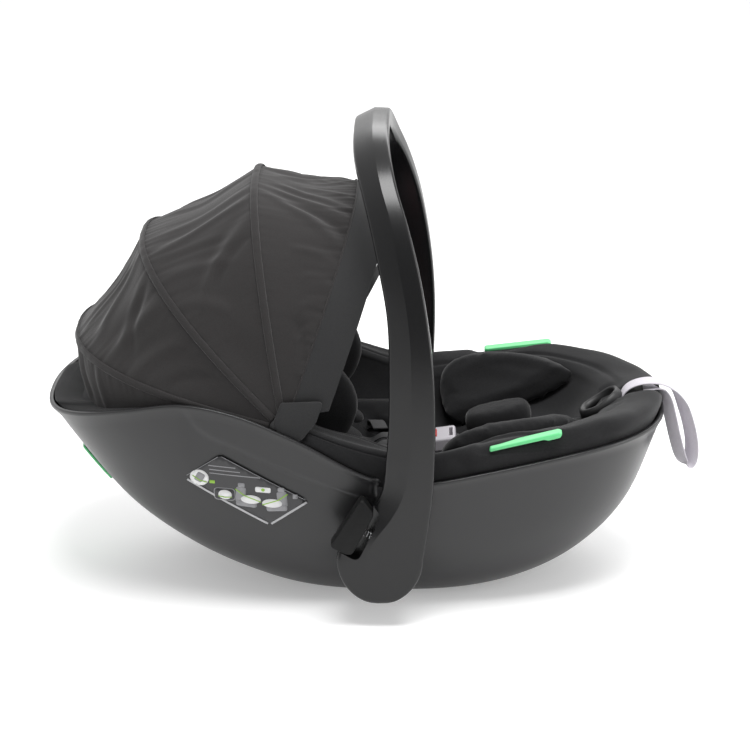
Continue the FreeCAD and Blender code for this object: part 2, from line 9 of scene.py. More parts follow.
import bmesh
import bpy
import numpy as np
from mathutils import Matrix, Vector


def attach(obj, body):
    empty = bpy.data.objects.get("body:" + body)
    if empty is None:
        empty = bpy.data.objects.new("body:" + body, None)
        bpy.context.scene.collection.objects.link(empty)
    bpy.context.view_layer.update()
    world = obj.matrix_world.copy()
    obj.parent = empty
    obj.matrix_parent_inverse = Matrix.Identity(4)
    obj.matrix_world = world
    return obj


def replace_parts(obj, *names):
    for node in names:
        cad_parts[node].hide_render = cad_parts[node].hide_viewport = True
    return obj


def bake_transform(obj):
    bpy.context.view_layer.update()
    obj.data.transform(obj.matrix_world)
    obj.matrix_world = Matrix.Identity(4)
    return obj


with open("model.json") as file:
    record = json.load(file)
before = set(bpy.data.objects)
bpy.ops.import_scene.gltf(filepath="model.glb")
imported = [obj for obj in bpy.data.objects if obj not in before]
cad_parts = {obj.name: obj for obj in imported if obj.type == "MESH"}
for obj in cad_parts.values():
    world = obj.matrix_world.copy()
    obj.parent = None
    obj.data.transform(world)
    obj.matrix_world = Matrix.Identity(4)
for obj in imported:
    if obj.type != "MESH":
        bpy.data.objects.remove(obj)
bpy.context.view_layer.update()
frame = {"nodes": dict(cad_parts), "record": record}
NODES = frame["nodes"]
SIDES = {"left": 1, "right": -1}
MM = 0.001

# --- driving sizes
# Hull sections: height, head end x, foot end x, half width.
HULL = [
    (0, -108, 150, 106),
    (4, -130, 170, 119),
    (18, -168, 208, 137),
    (46, -222, 250, 158),
    (93, -284, 290, 177),
    (157, -336, 316, 191),
    (205, -370, 332, 197),
    (262, -408, 346, 199),
]
# The shell's rim and the top of the padded roll, seen from the side: x and height.
RIM = [
    (-440, 186), (-372, 200), (-330, 212), (-270, 229), (-205, 242), (-150, 234),
    (-84, 207), (0, 162), (30, 153), (65, 156), (130, 167), (190, 176), (260, 183),
    (324, 187), (400, 190),
]
ROLL_TOP = [
    (-440, 190), (-372, 204), (-330, 216), (-205, 247), (-150, 240), (-84, 221),
    (0, 192), (40, 185), (90, 190), (150, 200), (230, 208), (324, 206), (400, 200),
]
# Sections of the hollow the child lies in, as in HULL.
HOLLOW = [
    (96, -40, 66, 78),
    (104, -62, 92, 100),
    (118, -96, 140, 122),
    (134, -135, 196, 136),
    (152, -178, 238, 148),
    (170, -222, 262, 156),
    (214, -318, 284, 163),
    (300, -336, 292, 166),
]
# The lower edge of the raised flank band, seen from the side.
BAND_CREASE = [
    (-230, 262), (-206, 238), (-193, 220), (-178, 208), (-146, 194), (-108, 176),
    (-72, 161), (-40, 149), (-15, 140), (10, 135), (40, 133),
]
BAND_END_X = 3.0
ROUND = 2.5  # exponent of the superellipses of the hull and the canopy
WALL = 4.0
COVER = 9.0
PIVOT = (10.0, 79.0)  # the handle's axis: x and z
PIN = (-95.0, 216.0)  # the canopy's axis
BACK_SLOPE = math.radians(24.0)
LATCH_BARS = (-84.0, 120.0)  # x of the two bars that a car base grips
AROUND = 420  # points round the hull
# The pull loop's line, from inside the adjuster: x and z from the outlet.
LOOP = [
    (18, -24), (14.5, -8), (13, 8), (17, 19), (28, 26.5), (44, 30), (62, 28), (80, 12),
    (93, -26), (97, -56), (92, -72), (84, -66), (76, -38), (70, -12), (64, 12), (54, 23), (38, 21),
]
LOOP_START = np.array([266.0, 0.0, 183.0])
LOOP_TWIST = math.radians(-35)  # the hanging part turns towards the child's right


# --- numbers
def spow(value, exponent):
    """A power that keeps the sign."""
    return np.sign(value) * np.abs(value) ** exponent


def hermite(knots, values, at):
    """A smooth curve through values at knots, read at at."""
    knots = np.asarray(knots, float)
    values = np.asarray(values, float)
    at = np.asarray(at, float)
    flat = values.ndim == 1
    if flat:
        values = values[:, None]
    slopes = np.gradient(values, knots, axis=0)
    i = np.clip(np.searchsorted(knots, at) - 1, 0, len(knots) - 2)
    h = knots[i + 1] - knots[i]
    t = np.clip((at - knots[i]) / h, 0, 1)[..., None]
    h = h[..., None]
    a, b = values[i], values[i + 1]
    ma, mb = slopes[i] * h, slopes[i + 1] * h
    out = (
        (2 * t**3 - 3 * t**2 + 1) * a + (t**3 - 2 * t**2 + t) * ma
        + (3 * t**2 - 2 * t**3) * b + (t**3 - t**2) * mb
    )
    return out[..., 0] if flat else out


def line(table, at):
    table = np.asarray(table, float)
    return hermite(table[:, 0], table[:, 1], at)


def smooth(t):
    """A soft step from 0 to 1."""
    t = np.clip(t, 0, 1)
    return t * t * (3 - 2 * t)


def lerp(a, b, t):
    return a + (b - a) * t


def travel(points):
    """The distance along points, from the first."""
    return np.r_[0, np.cumsum(np.linalg.norm(np.diff(points, axis=0), axis=1))]


class Ripple:
    """Smooth seeded noise: a sum of plane waves in 3-D."""

    def __init__(self, seed, wavelength, waves=14):
        rng = np.random.default_rng(seed)
        direction = rng.normal(size=(waves, 3))
        direction /= np.linalg.norm(direction, axis=1)[:, None]
        self.k = direction * (2 * math.pi / (wavelength * rng.uniform(0.7, 1.5, waves)))[:, None]
        self.phase = rng.uniform(0, 2 * math.pi, waves)
        self.scale = math.sqrt(2 / waves)

    def __call__(self, points):
        return self.scale * np.cos(points @ self.k.T + self.phase).sum(axis=-1)


class Sections:
    """Nested horizontal superellipses, read at a share of the way up their wall."""

    def __init__(self, table):
        self.table = np.asarray(table, float)
        self.s = travel(self.table)
        self.top = self.s[-1]

    def read(self, s):
        return np.moveaxis(hermite(self.s, self.table, s), -1, 0)

    def point(self, theta, s, inset=0.0, lift=0.0):
        z, head, foot, half = self.read(s)
        head = head + 1.3 * inset
        foot = foot - 1.25 * inset
        x = (head + foot) / 2 + (foot - head) / 2 * spow(np.cos(theta), 2 / ROUND)
        y = (half - inset) * spow(np.sin(theta), 2 / ROUND)
        return np.stack([x, y, z + lift], axis=-1)

    def level(self, z):
        """The share of the wall at height z."""
        fine = np.linspace(0, self.top, 800)
        return np.interp(z, hermite(self.s, self.table[:, 0], fine), fine)

    def half_at(self, x, z):
        """Half width at x and z."""
        _, head, foot, half = self.read(self.level(float(z)))
        share = np.clip(np.abs((x - (head + foot) / 2) / ((foot - head) / 2)), 0, 1)
        return half * (1 - share**ROUND) ** (1 / ROUND)


hull = Sections(HULL)
hollow = Sections(HOLLOW)


def even_angles(count):
    """Angles whose points are spread evenly round the hull at mid height."""
    fine = np.linspace(0, 2 * math.pi, 6001)
    p = hull.point(fine, np.full(fine.shape, hull.level(160)))
    along = travel(p)
    return np.interp(np.linspace(0, along[-1], count, endpoint=False), along, fine)


def crossing(theta, profile):
    """Where the hull's wall meets a side-view line, as a share up the wall."""
    a = np.full(theta.shape, hull.level(60.0))
    b = np.full(theta.shape, hull.top)
    for _ in range(40):
        mid = (a + b) / 2
        p = hull.point(theta, mid)
        above = p[:, 2] > line(profile, p[:, 0])
        b = np.where(above, mid, b)
        a = np.where(above, a, mid)
    return (a + b) / 2


# --- meshes
def add_mesh(name, points, faces, material, body=None):
    """A smooth-shaded mesh object from millimetre points."""
    mesh = bpy.data.meshes.new(name)
    mesh.from_pydata((np.asarray(points, float) * MM).tolist(), [], faces)
    mesh.validate()
    bm = bmesh.new()
    bm.from_mesh(mesh)
    bmesh.ops.recalc_face_normals(bm, faces=bm.faces)
    bm.to_mesh(mesh)
    bm.free()
    mesh.shade_smooth()
    obj = bpy.data.objects.new(name, mesh)
    bpy.context.scene.collection.objects.link(obj)
    mesh.materials.append(material)
    if body:
        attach(obj, body)
    return obj


def quads(rows, cols, wrap=False, start=0):
    """Faces of a grid whose points run along the columns first."""
    made = []
    for r in range(rows - 1):
        for c in range(cols if wrap else cols - 1):
            d = (c + 1) % cols
            a = start + r * cols
            made.append((a + c, a + d, a + cols + d, a + cols + c))
    return made


def tube_mesh(name, rings, material, body=None, wrap=False):
    """A closed solid through rings of equal count: (ring, point, 3)."""
    rings = np.asarray(rings, float)
    rows, cols = rings.shape[:2]
    faces = quads(rows, cols, True)
    if wrap:
        last = (rows - 1) * cols
        for c in range(cols):
            d = (c + 1) % cols
            faces.append((last + c, last + d, d, c))
    else:
        faces.append(tuple(range(cols)))
        faces.append(tuple((rows - 1) * cols + c for c in range(cols)))
    return add_mesh(name, rings.reshape(-1, 3), faces, material, body)


def grid_normals(grid, wrap=False):
    """Unit normals of a grid of points; wrap joins its last column to its first."""
    if wrap:
        across = np.roll(grid, -1, axis=1) - np.roll(grid, 1, axis=1)
    else:
        across = np.gradient(grid, axis=1)
    normal = np.cross(np.gradient(grid, axis=0), across)
    length = np.linalg.norm(normal, axis=-1, keepdims=True)
    return normal / np.maximum(length, 1e-9)


def sheet_mesh(name, grid, thick, material, body=None, wrap=False):
    """A closed thin solid: the grid, and the same grid set back along its normals."""
    grid = np.asarray(grid, float)
    rows, cols = grid.shape[:2]
    back = grid + grid_normals(grid, wrap) * thick
    count = rows * cols
    faces = quads(rows, cols, wrap) + quads(rows, cols, wrap, count)
    for c in range(cols if wrap else cols - 1):
        d = (c + 1) % cols
        end = (rows - 1) * cols
        faces.append((c, d, count + d, count + c))
        faces.append((end + c, end + d, count + end + d, count + end + c))
    if not wrap:
        for r in range(rows - 1):
            for c in (0, cols - 1):
                a, b = r * cols + c, (r + 1) * cols + c
                faces.append((a, b, count + b, count + a))
    points = np.concatenate([grid.reshape(-1, 3), back.reshape(-1, 3)])
    return add_mesh(name, points, faces, material, body)


def apply_modifiers(obj):
    """Replaces the object's mesh by what its modifiers make of it."""
    graph = bpy.context.evaluated_depsgraph_get()
    graph.update()
    made = bpy.data.meshes.new_from_object(obj.evaluated_get(graph))
    obj.modifiers.clear()
    obj.data = made
    return obj


def bevelled(obj, width):
    """Rounds the edges sharper than 50 degrees."""
    mod = obj.modifiers.new("bevel", "BEVEL")
    mod.width = width * MM
    mod.segments = 2
    mod.limit_method = "ANGLE"
    mod.angle_limit = math.radians(50)
    mod.harden_normals = False
    return apply_modifiers(obj)


def cut_with(obj, cutter):
    mod = obj.modifiers.new("cut", "BOOLEAN")
    mod.operation = "DIFFERENCE"
    mod.solver = "EXACT"
    mod.object = cutter
    apply_modifiers(obj)
    bpy.data.objects.remove(cutter)
    return obj


def block(name, low, high, material):
    (x0, y0, z0), (x1, y1, z1) = low, high
    ring0 = [(x0, y0, z0), (x1, y0, z0), (x1, y1, z0), (x0, y1, z0)]
    ring1 = [(x, y, z1) for x, y, _ in ring0]
    return tube_mesh(name, [ring0, ring1], material)


def side_layers(name, outline, layers, material, body=None):
    """A side-view outline as a solid; layers are y and how far the outline is pulled in."""
    middle = outline.mean(0)
    away = outline - middle
    size = np.linalg.norm(away, axis=1, keepdims=True)
    rings = []
    for y, pull in layers:
        x, z = (middle + away * (1 - pull / size)).T
        rings.append(np.stack([x, np.full(len(x), y), z], -1))
    return tube_mesh(name, rings, material, body)


def disc(name, centre, radius, y0, y1, material, body, rounding):
    """A disc across Y with rounded rims."""
    low, high = sorted((y0, y1))
    turn = np.linspace(0, 2 * math.pi, 96, endpoint=False)
    outline = np.array(centre) + radius * np.stack([np.cos(turn), np.sin(turn)], -1)
    steps = [
        (rounding * (1 - math.cos(a)), rounding * (1 - math.sin(a)))
        for a in np.linspace(0, math.pi / 2, 6)
    ]
    layers = [(low + depth, pull) for depth, pull in steps]
    layers += [(high - depth, pull) for depth, pull in reversed(steps)]
    return side_layers(name, outline, layers, material, body)


def shade_by_angle(obj, degrees):
    """Smooth shading with hard edges past an angle."""
    obj.data.shade_smooth()
    limit = math.radians(degrees)
    bm = bmesh.new()
    bm.from_mesh(obj.data)
    for edge in bm.edges:
        if len(edge.link_faces) == 2 and edge.calc_face_angle(0) > limit:
            edge.smooth = False
    bm.to_mesh(obj.data)
    bm.free()
    return obj


# --- materials
def new_material(name, sockets):
    """A material whose shader has these values in its sockets."""
    mat = bpy.data.materials.new(name)
    mat.use_nodes = True
    nodes = mat.node_tree.nodes
    for socket, value in sockets.items():
        nodes["Principled BSDF"].inputs[socket].default_value = value
    return mat, nodes, mat.node_tree.links


def noise_node(nodes, links, scale, detail=3.0, roughness=0.5, stretch=(1, 1, 1)):
    coords = nodes.new("ShaderNodeTexCoord")
    mapping = nodes.new("ShaderNodeMapping")
    mapping.inputs["Scale"].default_value = stretch
    links.new(coords.outputs["Object"], mapping.inputs["Vector"])
    noise = nodes.new("ShaderNodeTexNoise")
    noise.inputs["Scale"].default_value = scale
    noise.inputs["Detail"].default_value = detail
    noise.inputs["Roughness"].default_value = roughness
    links.new(mapping.outputs["Vector"], noise.inputs["Vector"])
    return noise


def ramp_node(nodes, links, source, low, high):
    """Lets a noise blend the base colour between two colours."""
    ramp = nodes.new("ShaderNodeValToRGB")
    for element, position, colour in zip(ramp.color_ramp.elements, (0.35, 0.65), (low, high)):
        element.position = position
        element.color = (*colour, 1)
    links.new(source.outputs["Fac"], ramp.inputs["Fac"])
    links.new(ramp.outputs["Color"], nodes["Principled BSDF"].inputs["Base Color"])


def bump_node(nodes, links, source, strength, distance):
    """Lets a noise move the surface by up to a distance in metres."""
    bump = nodes.new("ShaderNodeBump")
    bump.inputs["Strength"].default_value = strength
    bump.inputs["Distance"].default_value = distance
    links.new(source.outputs["Fac"], bump.inputs["Height"])
    links.new(bump.outputs["Normal"], nodes["Principled BSDF"].inputs["Normal"])


def vary_roughness(nodes, links, source, low, high):
    """Lets a noise move the roughness between two values."""
    rough = nodes.new("ShaderNodeMapRange")
    rough.inputs["To Min"].default_value = low
    rough.inputs["To Max"].default_value = high
    links.new(source.outputs["Fac"], rough.inputs["Value"])
    links.new(rough.outputs["Result"], nodes["Principled BSDF"].inputs["Roughness"])


def plastic(name, colour, roughness=0.42, grain=0.04, specular=0.5):
    """Moulded plastic with a very fine spark-eroded grain."""
    mat, nodes, links = new_material(
        name, {"Base Color": (*colour, 1), "Specular IOR Level": specular}
    )
    fine = noise_node(nodes, links, 1500, 2.0)
    broad = noise_node(nodes, links, 9, 3.0)
    vary_roughness(nodes, links, broad, roughness - 0.04, roughness + 0.04)
    bump_node(nodes, links, fine, grain, 0.0004)
    return mat


def metal(name, colour, roughness):
    """Steel with fine streaks in its roughness."""
    mat, nodes, links = new_material(name, {"Base Color": (*colour, 1), "Metallic": 1.0})
    streak = noise_node(nodes, links, 120, 2.0, stretch=(1, 12, 1))
    vary_roughness(nodes, links, streak, roughness - 0.06, roughness + 0.08)
    return mat


def fabric(name, dark, light, sheen, yarn=900.0, bump=0.35):
    """A fine jersey knit: heathered colour, small loops and a soft sheen."""
    mat, nodes, links = new_material(name, {
        "Roughness": 0.9, "Specular IOR Level": 0.2, "Sheen Weight": sheen,
        "Sheen Roughness": 0.45, "Sheen Tint": (1, 1, 1, 1),
    })
    heather = noise_node(nodes, links, yarn, 3.0, 0.6, (1, 1, 2.2))
    ramp_node(nodes, links, heather, dark, light)
    loops = noise_node(nodes, links, yarn * 1.6, 1.0, 0.5, (1.6, 1.6, 1))
    bump_node(nodes, links, loops, bump, 0.0006)
    return mat


def webbing(name, dark, light):
    """Flat woven strap: ribs across its length."""
    mat, nodes, links = new_material(name, {"Roughness": 0.7, "Sheen Weight": 0.1})
    fine = noise_node(nodes, links, 1100, 2.0, 0.5, (2.5, 1, 2.5))
    ramp_node(nodes, links, fine, dark, light)
    bump_node(nodes, links, fine, 0.4, 0.0005)
    return mat


def plain(name, colour, roughness):
    return new_material(name, {"Base Color": (*colour, 1), "Roughness": roughness})[0]


MAT = {
    "shell_plastic": plastic("shell_plastic", (0.0135, 0.0135, 0.0142), 0.35, 0.05),
    "handle_plastic": plastic("handle_plastic", (0.0048, 0.0048, 0.0052), 0.24, 0.02, 0.42),
    "black_plastic": plastic("black_plastic", (0.010, 0.010, 0.0105), 0.5, 0.06),
    "button_rubber": plastic("button_rubber", (0.0022, 0.0022, 0.0023), 0.6, 0.05, 0.25),
    "grey_plastic": plastic("grey_plastic", (0.42, 0.40, 0.43), 0.42, 0.04),
    "green_plastic": plastic("green_plastic", (0.12, 0.56, 0.22), 0.38, 0.02),
    "red_plastic": plastic("red_plastic", (0.50, 0.02, 0.015), 0.35, 0.02),
    "steel": metal("steel", (0.6, 0.6, 0.62), 0.3),
    "foam": plain("foam", (0.05, 0.05, 0.052), 0.9),
    "seat_fabric": fabric("seat_fabric", (0.0065, 0.0065, 0.007), (0.016, 0.016, 0.017), 0.16),
    "canopy_fabric": fabric(
        "canopy_fabric", (0.022, 0.0205, 0.0205), (0.031, 0.029, 0.029), 0.16, 1100, 0.18
    ),
    "hem_fabric": fabric("hem_fabric", (0.021, 0.021, 0.0215), (0.032, 0.032, 0.033), 0.16, 1500, 0.15),
    "webbing_black": webbing("webbing_black", (0.008, 0.008, 0.0085), (0.018, 0.018, 0.019)),
    "webbing_grey": webbing("webbing_grey", (0.44, 0.42, 0.46), (0.62, 0.59, 0.64)),
    "label_film": plastic("label_film", (0.030, 0.030, 0.032), 0.42, 0.02),
    "label_silver": plain("label_silver", (0.42, 0.42, 0.43), 0.35),
    "label_white": plain("label_white", (0.70, 0.70, 0.70), 0.5),
    "label_grey": plain("label_grey", (0.24, 0.24, 0.25), 0.5),
    "label_green": plain("label_green", (0.25, 0.46, 0.05), 0.5),
}


def own_finishes():
    """Gives every CAD node that stays the material of its slot."""
    for part in frame["record"]["subparts"]:
        mesh = NODES[part["node"]].data
        mesh.materials.clear()
        mesh.materials.append(MAT[part["material_slot"]])


# --- stage
def add_camera():
    azimuth, elevation = math.radians(1.0), math.radians(18.3)
    target, distance = Vector((0, 0, 0.217)), 3.5
    back = Vector((
        math.sin(azimuth) * math.cos(elevation),
        -math.cos(azimuth) * math.cos(elevation),
        math.sin(elevation),
    ))
    data = bpy.data.cameras.new("camera")
    data.lens = 148.0
    data.sensor_width = 36.0
    camera = bpy.data.objects.new("camera", data)
    camera.location = target + back * distance
    camera.rotation_euler = (-back).to_track_quat("-Z", "Y").to_euler()
    bpy.context.scene.collection.objects.link(camera)
    bpy.context.scene.camera = camera


def add_light(name, location, target, size, size_y, power):
    """A rectangular lamp that faces a point, in metres and watts."""
    data = bpy.data.lights.new(name, "AREA")
    data.energy = power
    data.shape = "RECTANGLE"
    data.size = size
    data.size_y = size_y
    light = bpy.data.objects.new(name, data)
    light.location = location
    direction = Vector(target) - Vector(location)
    light.rotation_euler = direction.to_track_quat("-Z", "Y").to_euler()
    bpy.context.scene.collection.objects.link(light)


def add_stage():
    """A white floor, a studio that is darker at the front, and three soft lamps."""
    mat, _, _ = new_material("floor", {
        "Base Color": (0.80, 0.80, 0.80, 1), "Roughness": 0.75,
        "Emission Color": (1, 1, 1, 1), "Emission Strength": 0.30,
    })
    reach = 9000.0
    floor = add_mesh(
        "floor", [(-reach, -reach, 0), (reach, -reach, 0), (reach, reach, 0), (-reach, reach, 0)],
        [(0, 1, 2, 3)], mat,
    )
    world = bpy.data.worlds.new("studio")
    world.use_nodes = True
    nodes, links = world.node_tree.nodes, world.node_tree.links
    coords = nodes.new("ShaderNodeTexCoord")
    split = nodes.new("ShaderNodeSeparateXYZ")
    links.new(coords.outputs["Generated"], split.inputs["Vector"])
    front = nodes.new("ShaderNodeMapRange")
    front.interpolation_type = "SMOOTHSTEP"
    for socket, value in (("From Min", -0.95), ("From Max", 0.1), ("To Min", 0.30), ("To Max", 0.92)):
        front.inputs[socket].default_value = value
    links.new(split.outputs["Y"], front.inputs["Value"])
    links.new(front.outputs["Result"], nodes["Background"].inputs["Strength"])
    nodes["Background"].inputs["Color"].default_value = (1, 1, 1, 1)
    bpy.context.scene.world = world
    add_light("key", (0.25, -0.55, 2.4), (0, 0, 0.2), 1.6, 0.9, 54)
    add_light("rim", (0.4, 1.8, 1.5), (0, 0, 0.25), 2.2, 0.8, 16)
    add_light("side", (2.3, -0.4, 0.8), (0, 0, 0.2), 0.9, 1.6, 16)
    bpy.context.scene.view_settings.view_transform = "Standard"


# --- shell
def shell():
    """The moulded shell: a bowl with a beaded rim and a raised flank band."""
    rows = 96
    theta = even_angles(AROUND)
    rim = crossing(theta, RIM)
    s = rim[None, :] * np.linspace(0, 1, rows)[:, None]
    outer = hull.point(np.broadcast_to(theta, s.shape), s)
    normal = grid_normals(outer, True)
    normal = normal * np.sign(normal[rows // 2, 0, 0])
    x, y, z = np.moveaxis(outer, -1, 0)
    above = z - line(BAND_CREASE, x)
    inside = smooth(above / 5 + 0.5) * smooth((BAND_END_X - x) / 6 + 0.5)
    start = smooth((x + 212) / 20)
    fade = np.exp(-((np.minimum(above, 0) / 46) ** 2)) * start * smooth((70 - x) / 60)
    depth = -2.6 * (1 - inside) * fade
    # The recess that the handle's leg stands in.
    leg = smooth((x - BAND_END_X) / 5) * smooth((62 - x) / 12) * smooth((z - 118) / 10)
    depth = depth - 4.0 * leg
    depth[0] = 0
    flank = smooth((np.abs(y) - 60) / 60)
    outer = outer + normal * (depth * flank)[..., None]
    edge, edge_normal = outer[-1], normal[-1].copy()
    edge_normal[:, 2] = 0
    edge_normal /= np.linalg.norm(edge_normal, axis=1)[:, None]
    up = np.array([0, 0, 1.0])
    # The beaded rim, from outside to inside: out of the edge, and up from it.
    bead = [(0.0, -4.4), (0.75, -3.6), (0.85, -2.2), (0.8, -0.9), (0.35, -0.15), (-0.4, 0.1),
            (-3.2, 0.1), (-4.0, -0.3), (-4.3, -1.4), (-WALL, -3.5)]
    lip = [edge + edge_normal * out + up * rise for out, rise in bead]
    under_rim = 4  # rows that the bead takes the place of
    inner = (outer - normal * WALL)[::-1][under_rim:]
    inner[..., 2] = np.maximum(inner[..., 2], WALL)
    rings = np.concatenate([outer[:-under_rim], np.array(lip), inner])
    obj = tube_mesh("shell_body", rings, MAT["shell_plastic"])
    for bar_x in LATCH_BARS:
        low, high = (bar_x - 13, -34, -2), (bar_x + 13, 34, 14)
        cut_with(obj, block("pocket", low, high, MAT["shell_plastic"]))
    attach(obj, "shell")
    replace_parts(obj, "outer_shell")
    for side, sign in SIDES.items():
        boss = disc(f"hub_boss_{side}", PIVOT, 43, sign * 160, sign * 195.5,
                    MAT["shell_plastic"], "shell", 2.0)


# --- padding
def collar_plane(x):
    """The slope of the cover where the strap collar is let into it."""
    return 168 + (x - 228) * 0.60


def seat_cover():
    """The padded cover: a roll over the rim and a lining down to the seat's floor."""
    theta = even_angles(AROUND)
    rim_s = crossing(theta, RIM)
    rim_z = hull.read(rim_s)[0]
    roll_z = hull.read(crossing(theta, ROLL_TOP))[0]
    tall = roll_z - rim_z
    rim_point = hull.point(theta, rim_s)
    # Beside the canopy the roll steps in, to leave room for the fabric and the bows.
    step_in = 27 * smooth((-66 - rim_point[:, 0]) / 26) * smooth((np.abs(rim_point[:, 1]) - 60) / 60)

    def on_hull(inset, share, height):
        p = hull.point(theta, hull.level(height), inset + share * step_in)
        p[:, 2] = height
        return p

    # A belt across the roll, from under the rim to the top of the hollow's wall.
    stations = [
        on_hull(6.0, 0.0, rim_z - 9),
        on_hull(5.0, 0.1, rim_z - 2),
        on_hull(4.4, 0.8, rim_z + 0.28 * tall),
        on_hull(5.2, 1.0, rim_z + 0.62 * tall),
        on_hull(8.6, 1.0, rim_z + 0.88 * tall),
        on_hull(14.5, 0.8, rim_z + 1.0 * tall),
        on_hull(22.5, 0.6, rim_z + 0.96 * tall),
    ]
    top = np.minimum(roll_z - 14 - COVER, 212)
    wall = []
    for share in np.linspace(0, 1, 16):
        s = hollow.level(lerp(top, np.full(theta.shape, 97.0), share**0.9))
        wall.append(hollow.point(theta, s, COVER, COVER))
    bridge = lerp(stations[-1], wall[0], 0.55)
    bridge[:, 2] = lerp(stations[-1][:, 2], wall[0][:, 2], 0.38)
    knots = np.array([*stations, bridge, *wall])
    span = np.linspace(0, len(knots) - 1, 190)
    grid = hermite(np.arange(len(knots)), knots.reshape(len(knots), -1), span)
    grid = grid.reshape(len(span), AROUND, 3)
    for _ in range(3):
        grid[1:-1] = (grid[:-2] + 2 * grid[1:-1] + grid[2:]) / 4
    normal = grid_normals(grid, True)
    if normal[30, 0, 2] < 0:
        normal = -normal
    x, y, z = np.moveaxis(grid, -1, 0)
    swell = 1.2 * Ripple(3, 110)(grid) + 0.22 * Ripple(5, 36)(grid)
    hold = smooth((span - 1.2) / 2.0) * smooth((len(knots) - 1 - span) / 2)
    lift = swell * hold[:, None]
    across = np.broadcast_to(span[:, None], x.shape)
    # Sewn lines: one all round inside the roll, one along its outer face behind the handle.
    lift = lift - 1.9 * np.exp(-(((across - 7.1) / 0.16) ** 2))
    behind = smooth((38 - x) / 20) * smooth((x + 150) / 60)
    lift = lift - 2.0 * behind * np.exp(-(((across - 4.0) / 0.17) ** 2))
    # Soft creases where the cover is pulled round the flank.
    for place, wide, deep in ((84, 9, 1.5), (104, 7, -1.0), (258, 11, 1.2), (-22, 8, 1.2)):
        slant = (x - place + 0.9 * (z - 190)) / wide
        lift = lift - deep * np.exp(-(slant**2)) * np.exp(-(((across - 3) / 1.6) ** 2))
    grid = grid + normal * lift[..., None]
    x, y, z = np.moveaxis(grid, -1, 0)
    # Dips for the belt guides, the collar and the pull loop.
    beside = smooth((58 - np.abs(x - 166)) / 14) * smooth((np.abs(y) - 150) / 8)
    beside = beside * smooth((188 - np.abs(y)) / 6)
    z = z - 4.5 * beside * smooth((z - 185) / 8)
    middle = smooth((40 - np.abs(y)) / 14) * smooth((x - 224) / 12)
    z = lerp(z, np.minimum(z, collar_plane(x)), middle)
    channel = np.interp(x, [276, 292, 308, 318, 345], [192, 202, 202, 191, 188])
    groove = smooth((18 - np.abs(y)) / 4) * smooth((x - 274) / 8)
    z = lerp(z, np.minimum(z, channel), groove)
    grid = np.stack([x, y, z], -1)
    centre = grid[-1].mean(axis=0)
    rings = [lerp(grid[-1], centre, t) for t in (0.25, 0.5, 0.75, 0.95)]
    grid = np.concatenate([grid, np.array(rings)])
    thick = -3.0 if grid_normals(grid, True)[30, 0, 2] > 0 else 3.0
    obj = sheet_mesh("padded_cover", grid, thick, MAT["seat_fabric"], "shell", True)
    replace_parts(obj, "seat_cover")


def strap_flap():
    """The padded cover over the adjuster's strap, with a sewn channel along each side."""
    stations, around = 80, 40
    rings = []
    for i in range(stations):
        share = i / (stations - 1)
        x = lerp(101.0, 246.0, share)
        end = math.sqrt(max(0.0, 1 - ((share - 0.12) / 0.12) ** 2)) if share < 0.12 else 1.0
        half = max(0.3, lerp(15.0, 21.0, smooth(share / 0.8)) * end)
        crown = 152.0 + (x - 169) * 0.2217
        floor = crown - lerp(12.0, 20.0, share)
        ring = []
        for k in range(around):
            a = 2 * math.pi * k / around
            side = math.copysign(abs(math.cos(a)) ** 0.8, math.cos(a))
            y = half * side
            if math.sin(a) >= 0:
                puff = (1 - abs(side) ** 2.6) * 5.5 * end
                sewn = 2.6 * math.exp(-(((abs(y) - 0.52 * half) / 1.5) ** 2)) * end
                z = crown - 5.5 + puff - sewn
            else:
                z = lerp(crown - 5.5, floor, abs(math.sin(a)) ** 0.6)
            ring.append((x, y, z))
        rings.append(ring)
    rings = np.array(rings)
    rings[..., 2] += 0.35 * Ripple(71, 26)(rings)
    obj = tube_mesh("strap_flap", rings, MAT["seat_fabric"], "shell")
    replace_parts(obj, "adjuster_flap")


def strap_collar():
    """The rubber collar that the pull loop comes out of, higher at its foot end."""
    centre, tilt = np.array([256.0, 0.0, 186.5]), math.radians(29)
    along = np.array([math.cos(tilt), 0, math.sin(tilt)])
    up = np.array([-math.sin(tilt), 0, math.cos(tilt)])
    rings = []
    for step in range(96):
        a = 2 * math.pi * step / 96
        cx, cy = spow(math.cos(a), 2 / 2.3), spow(math.sin(a), 2 / 2.3)
        rise = 1 + 0.9 * smooth((cx + 0.2) / 1.1)
        ring = []
        for reach, half, height in (
            (27.5, 22.5, -6), (26.5, 21.8, 0.5), (24.5, 19.8, 3.2), (22.5, 17.8, 3.8),
            (20.0, 15.2, 2.6), (18.3, 13.4, -0.5), (17.6, 12.8, -6),
        ):
            ring.append(centre + along * reach * cx + np.array([0, half * cy, 0]) + up * height * rise)
        rings.append(ring)
    obj = tube_mesh("loop_collar", rings, MAT["black_plastic"], "shell", True)
    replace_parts(obj, "strap_collar")


SOFT = []
CLOTH = {
    "use_pressure": True, "uniform_pressure_force": 4.0, "quality": 5, "tension_stiffness": 12,
    "compression_stiffness": 12, "shear_stiffness": 5, "bending_stiffness": 0.6,
}


def soften(node, name, body, voxel, cap):
    """A cushion: the CAD solid remeshed, to be swollen by up to cap in a cloth simulation."""
    mesh = NODES[node].data.copy()
    obj = bpy.data.objects.new(name, mesh)
    bpy.context.scene.collection.objects.link(obj)
    mesh.materials.clear()
    mesh.materials.append(MAT["seat_fabric"])
    remesh = obj.modifiers.new("remesh", "REMESH")
    remesh.mode = "VOXEL"
    remesh.voxel_size = voxel * MM
    relax = obj.modifiers.new("relax", "SMOOTH")
    relax.factor = 0.5
    relax.iterations = 6
    apply_modifiers(obj)
    SOFT.append({"obj": obj, "node": node, "body": body, "cap": cap * MM})


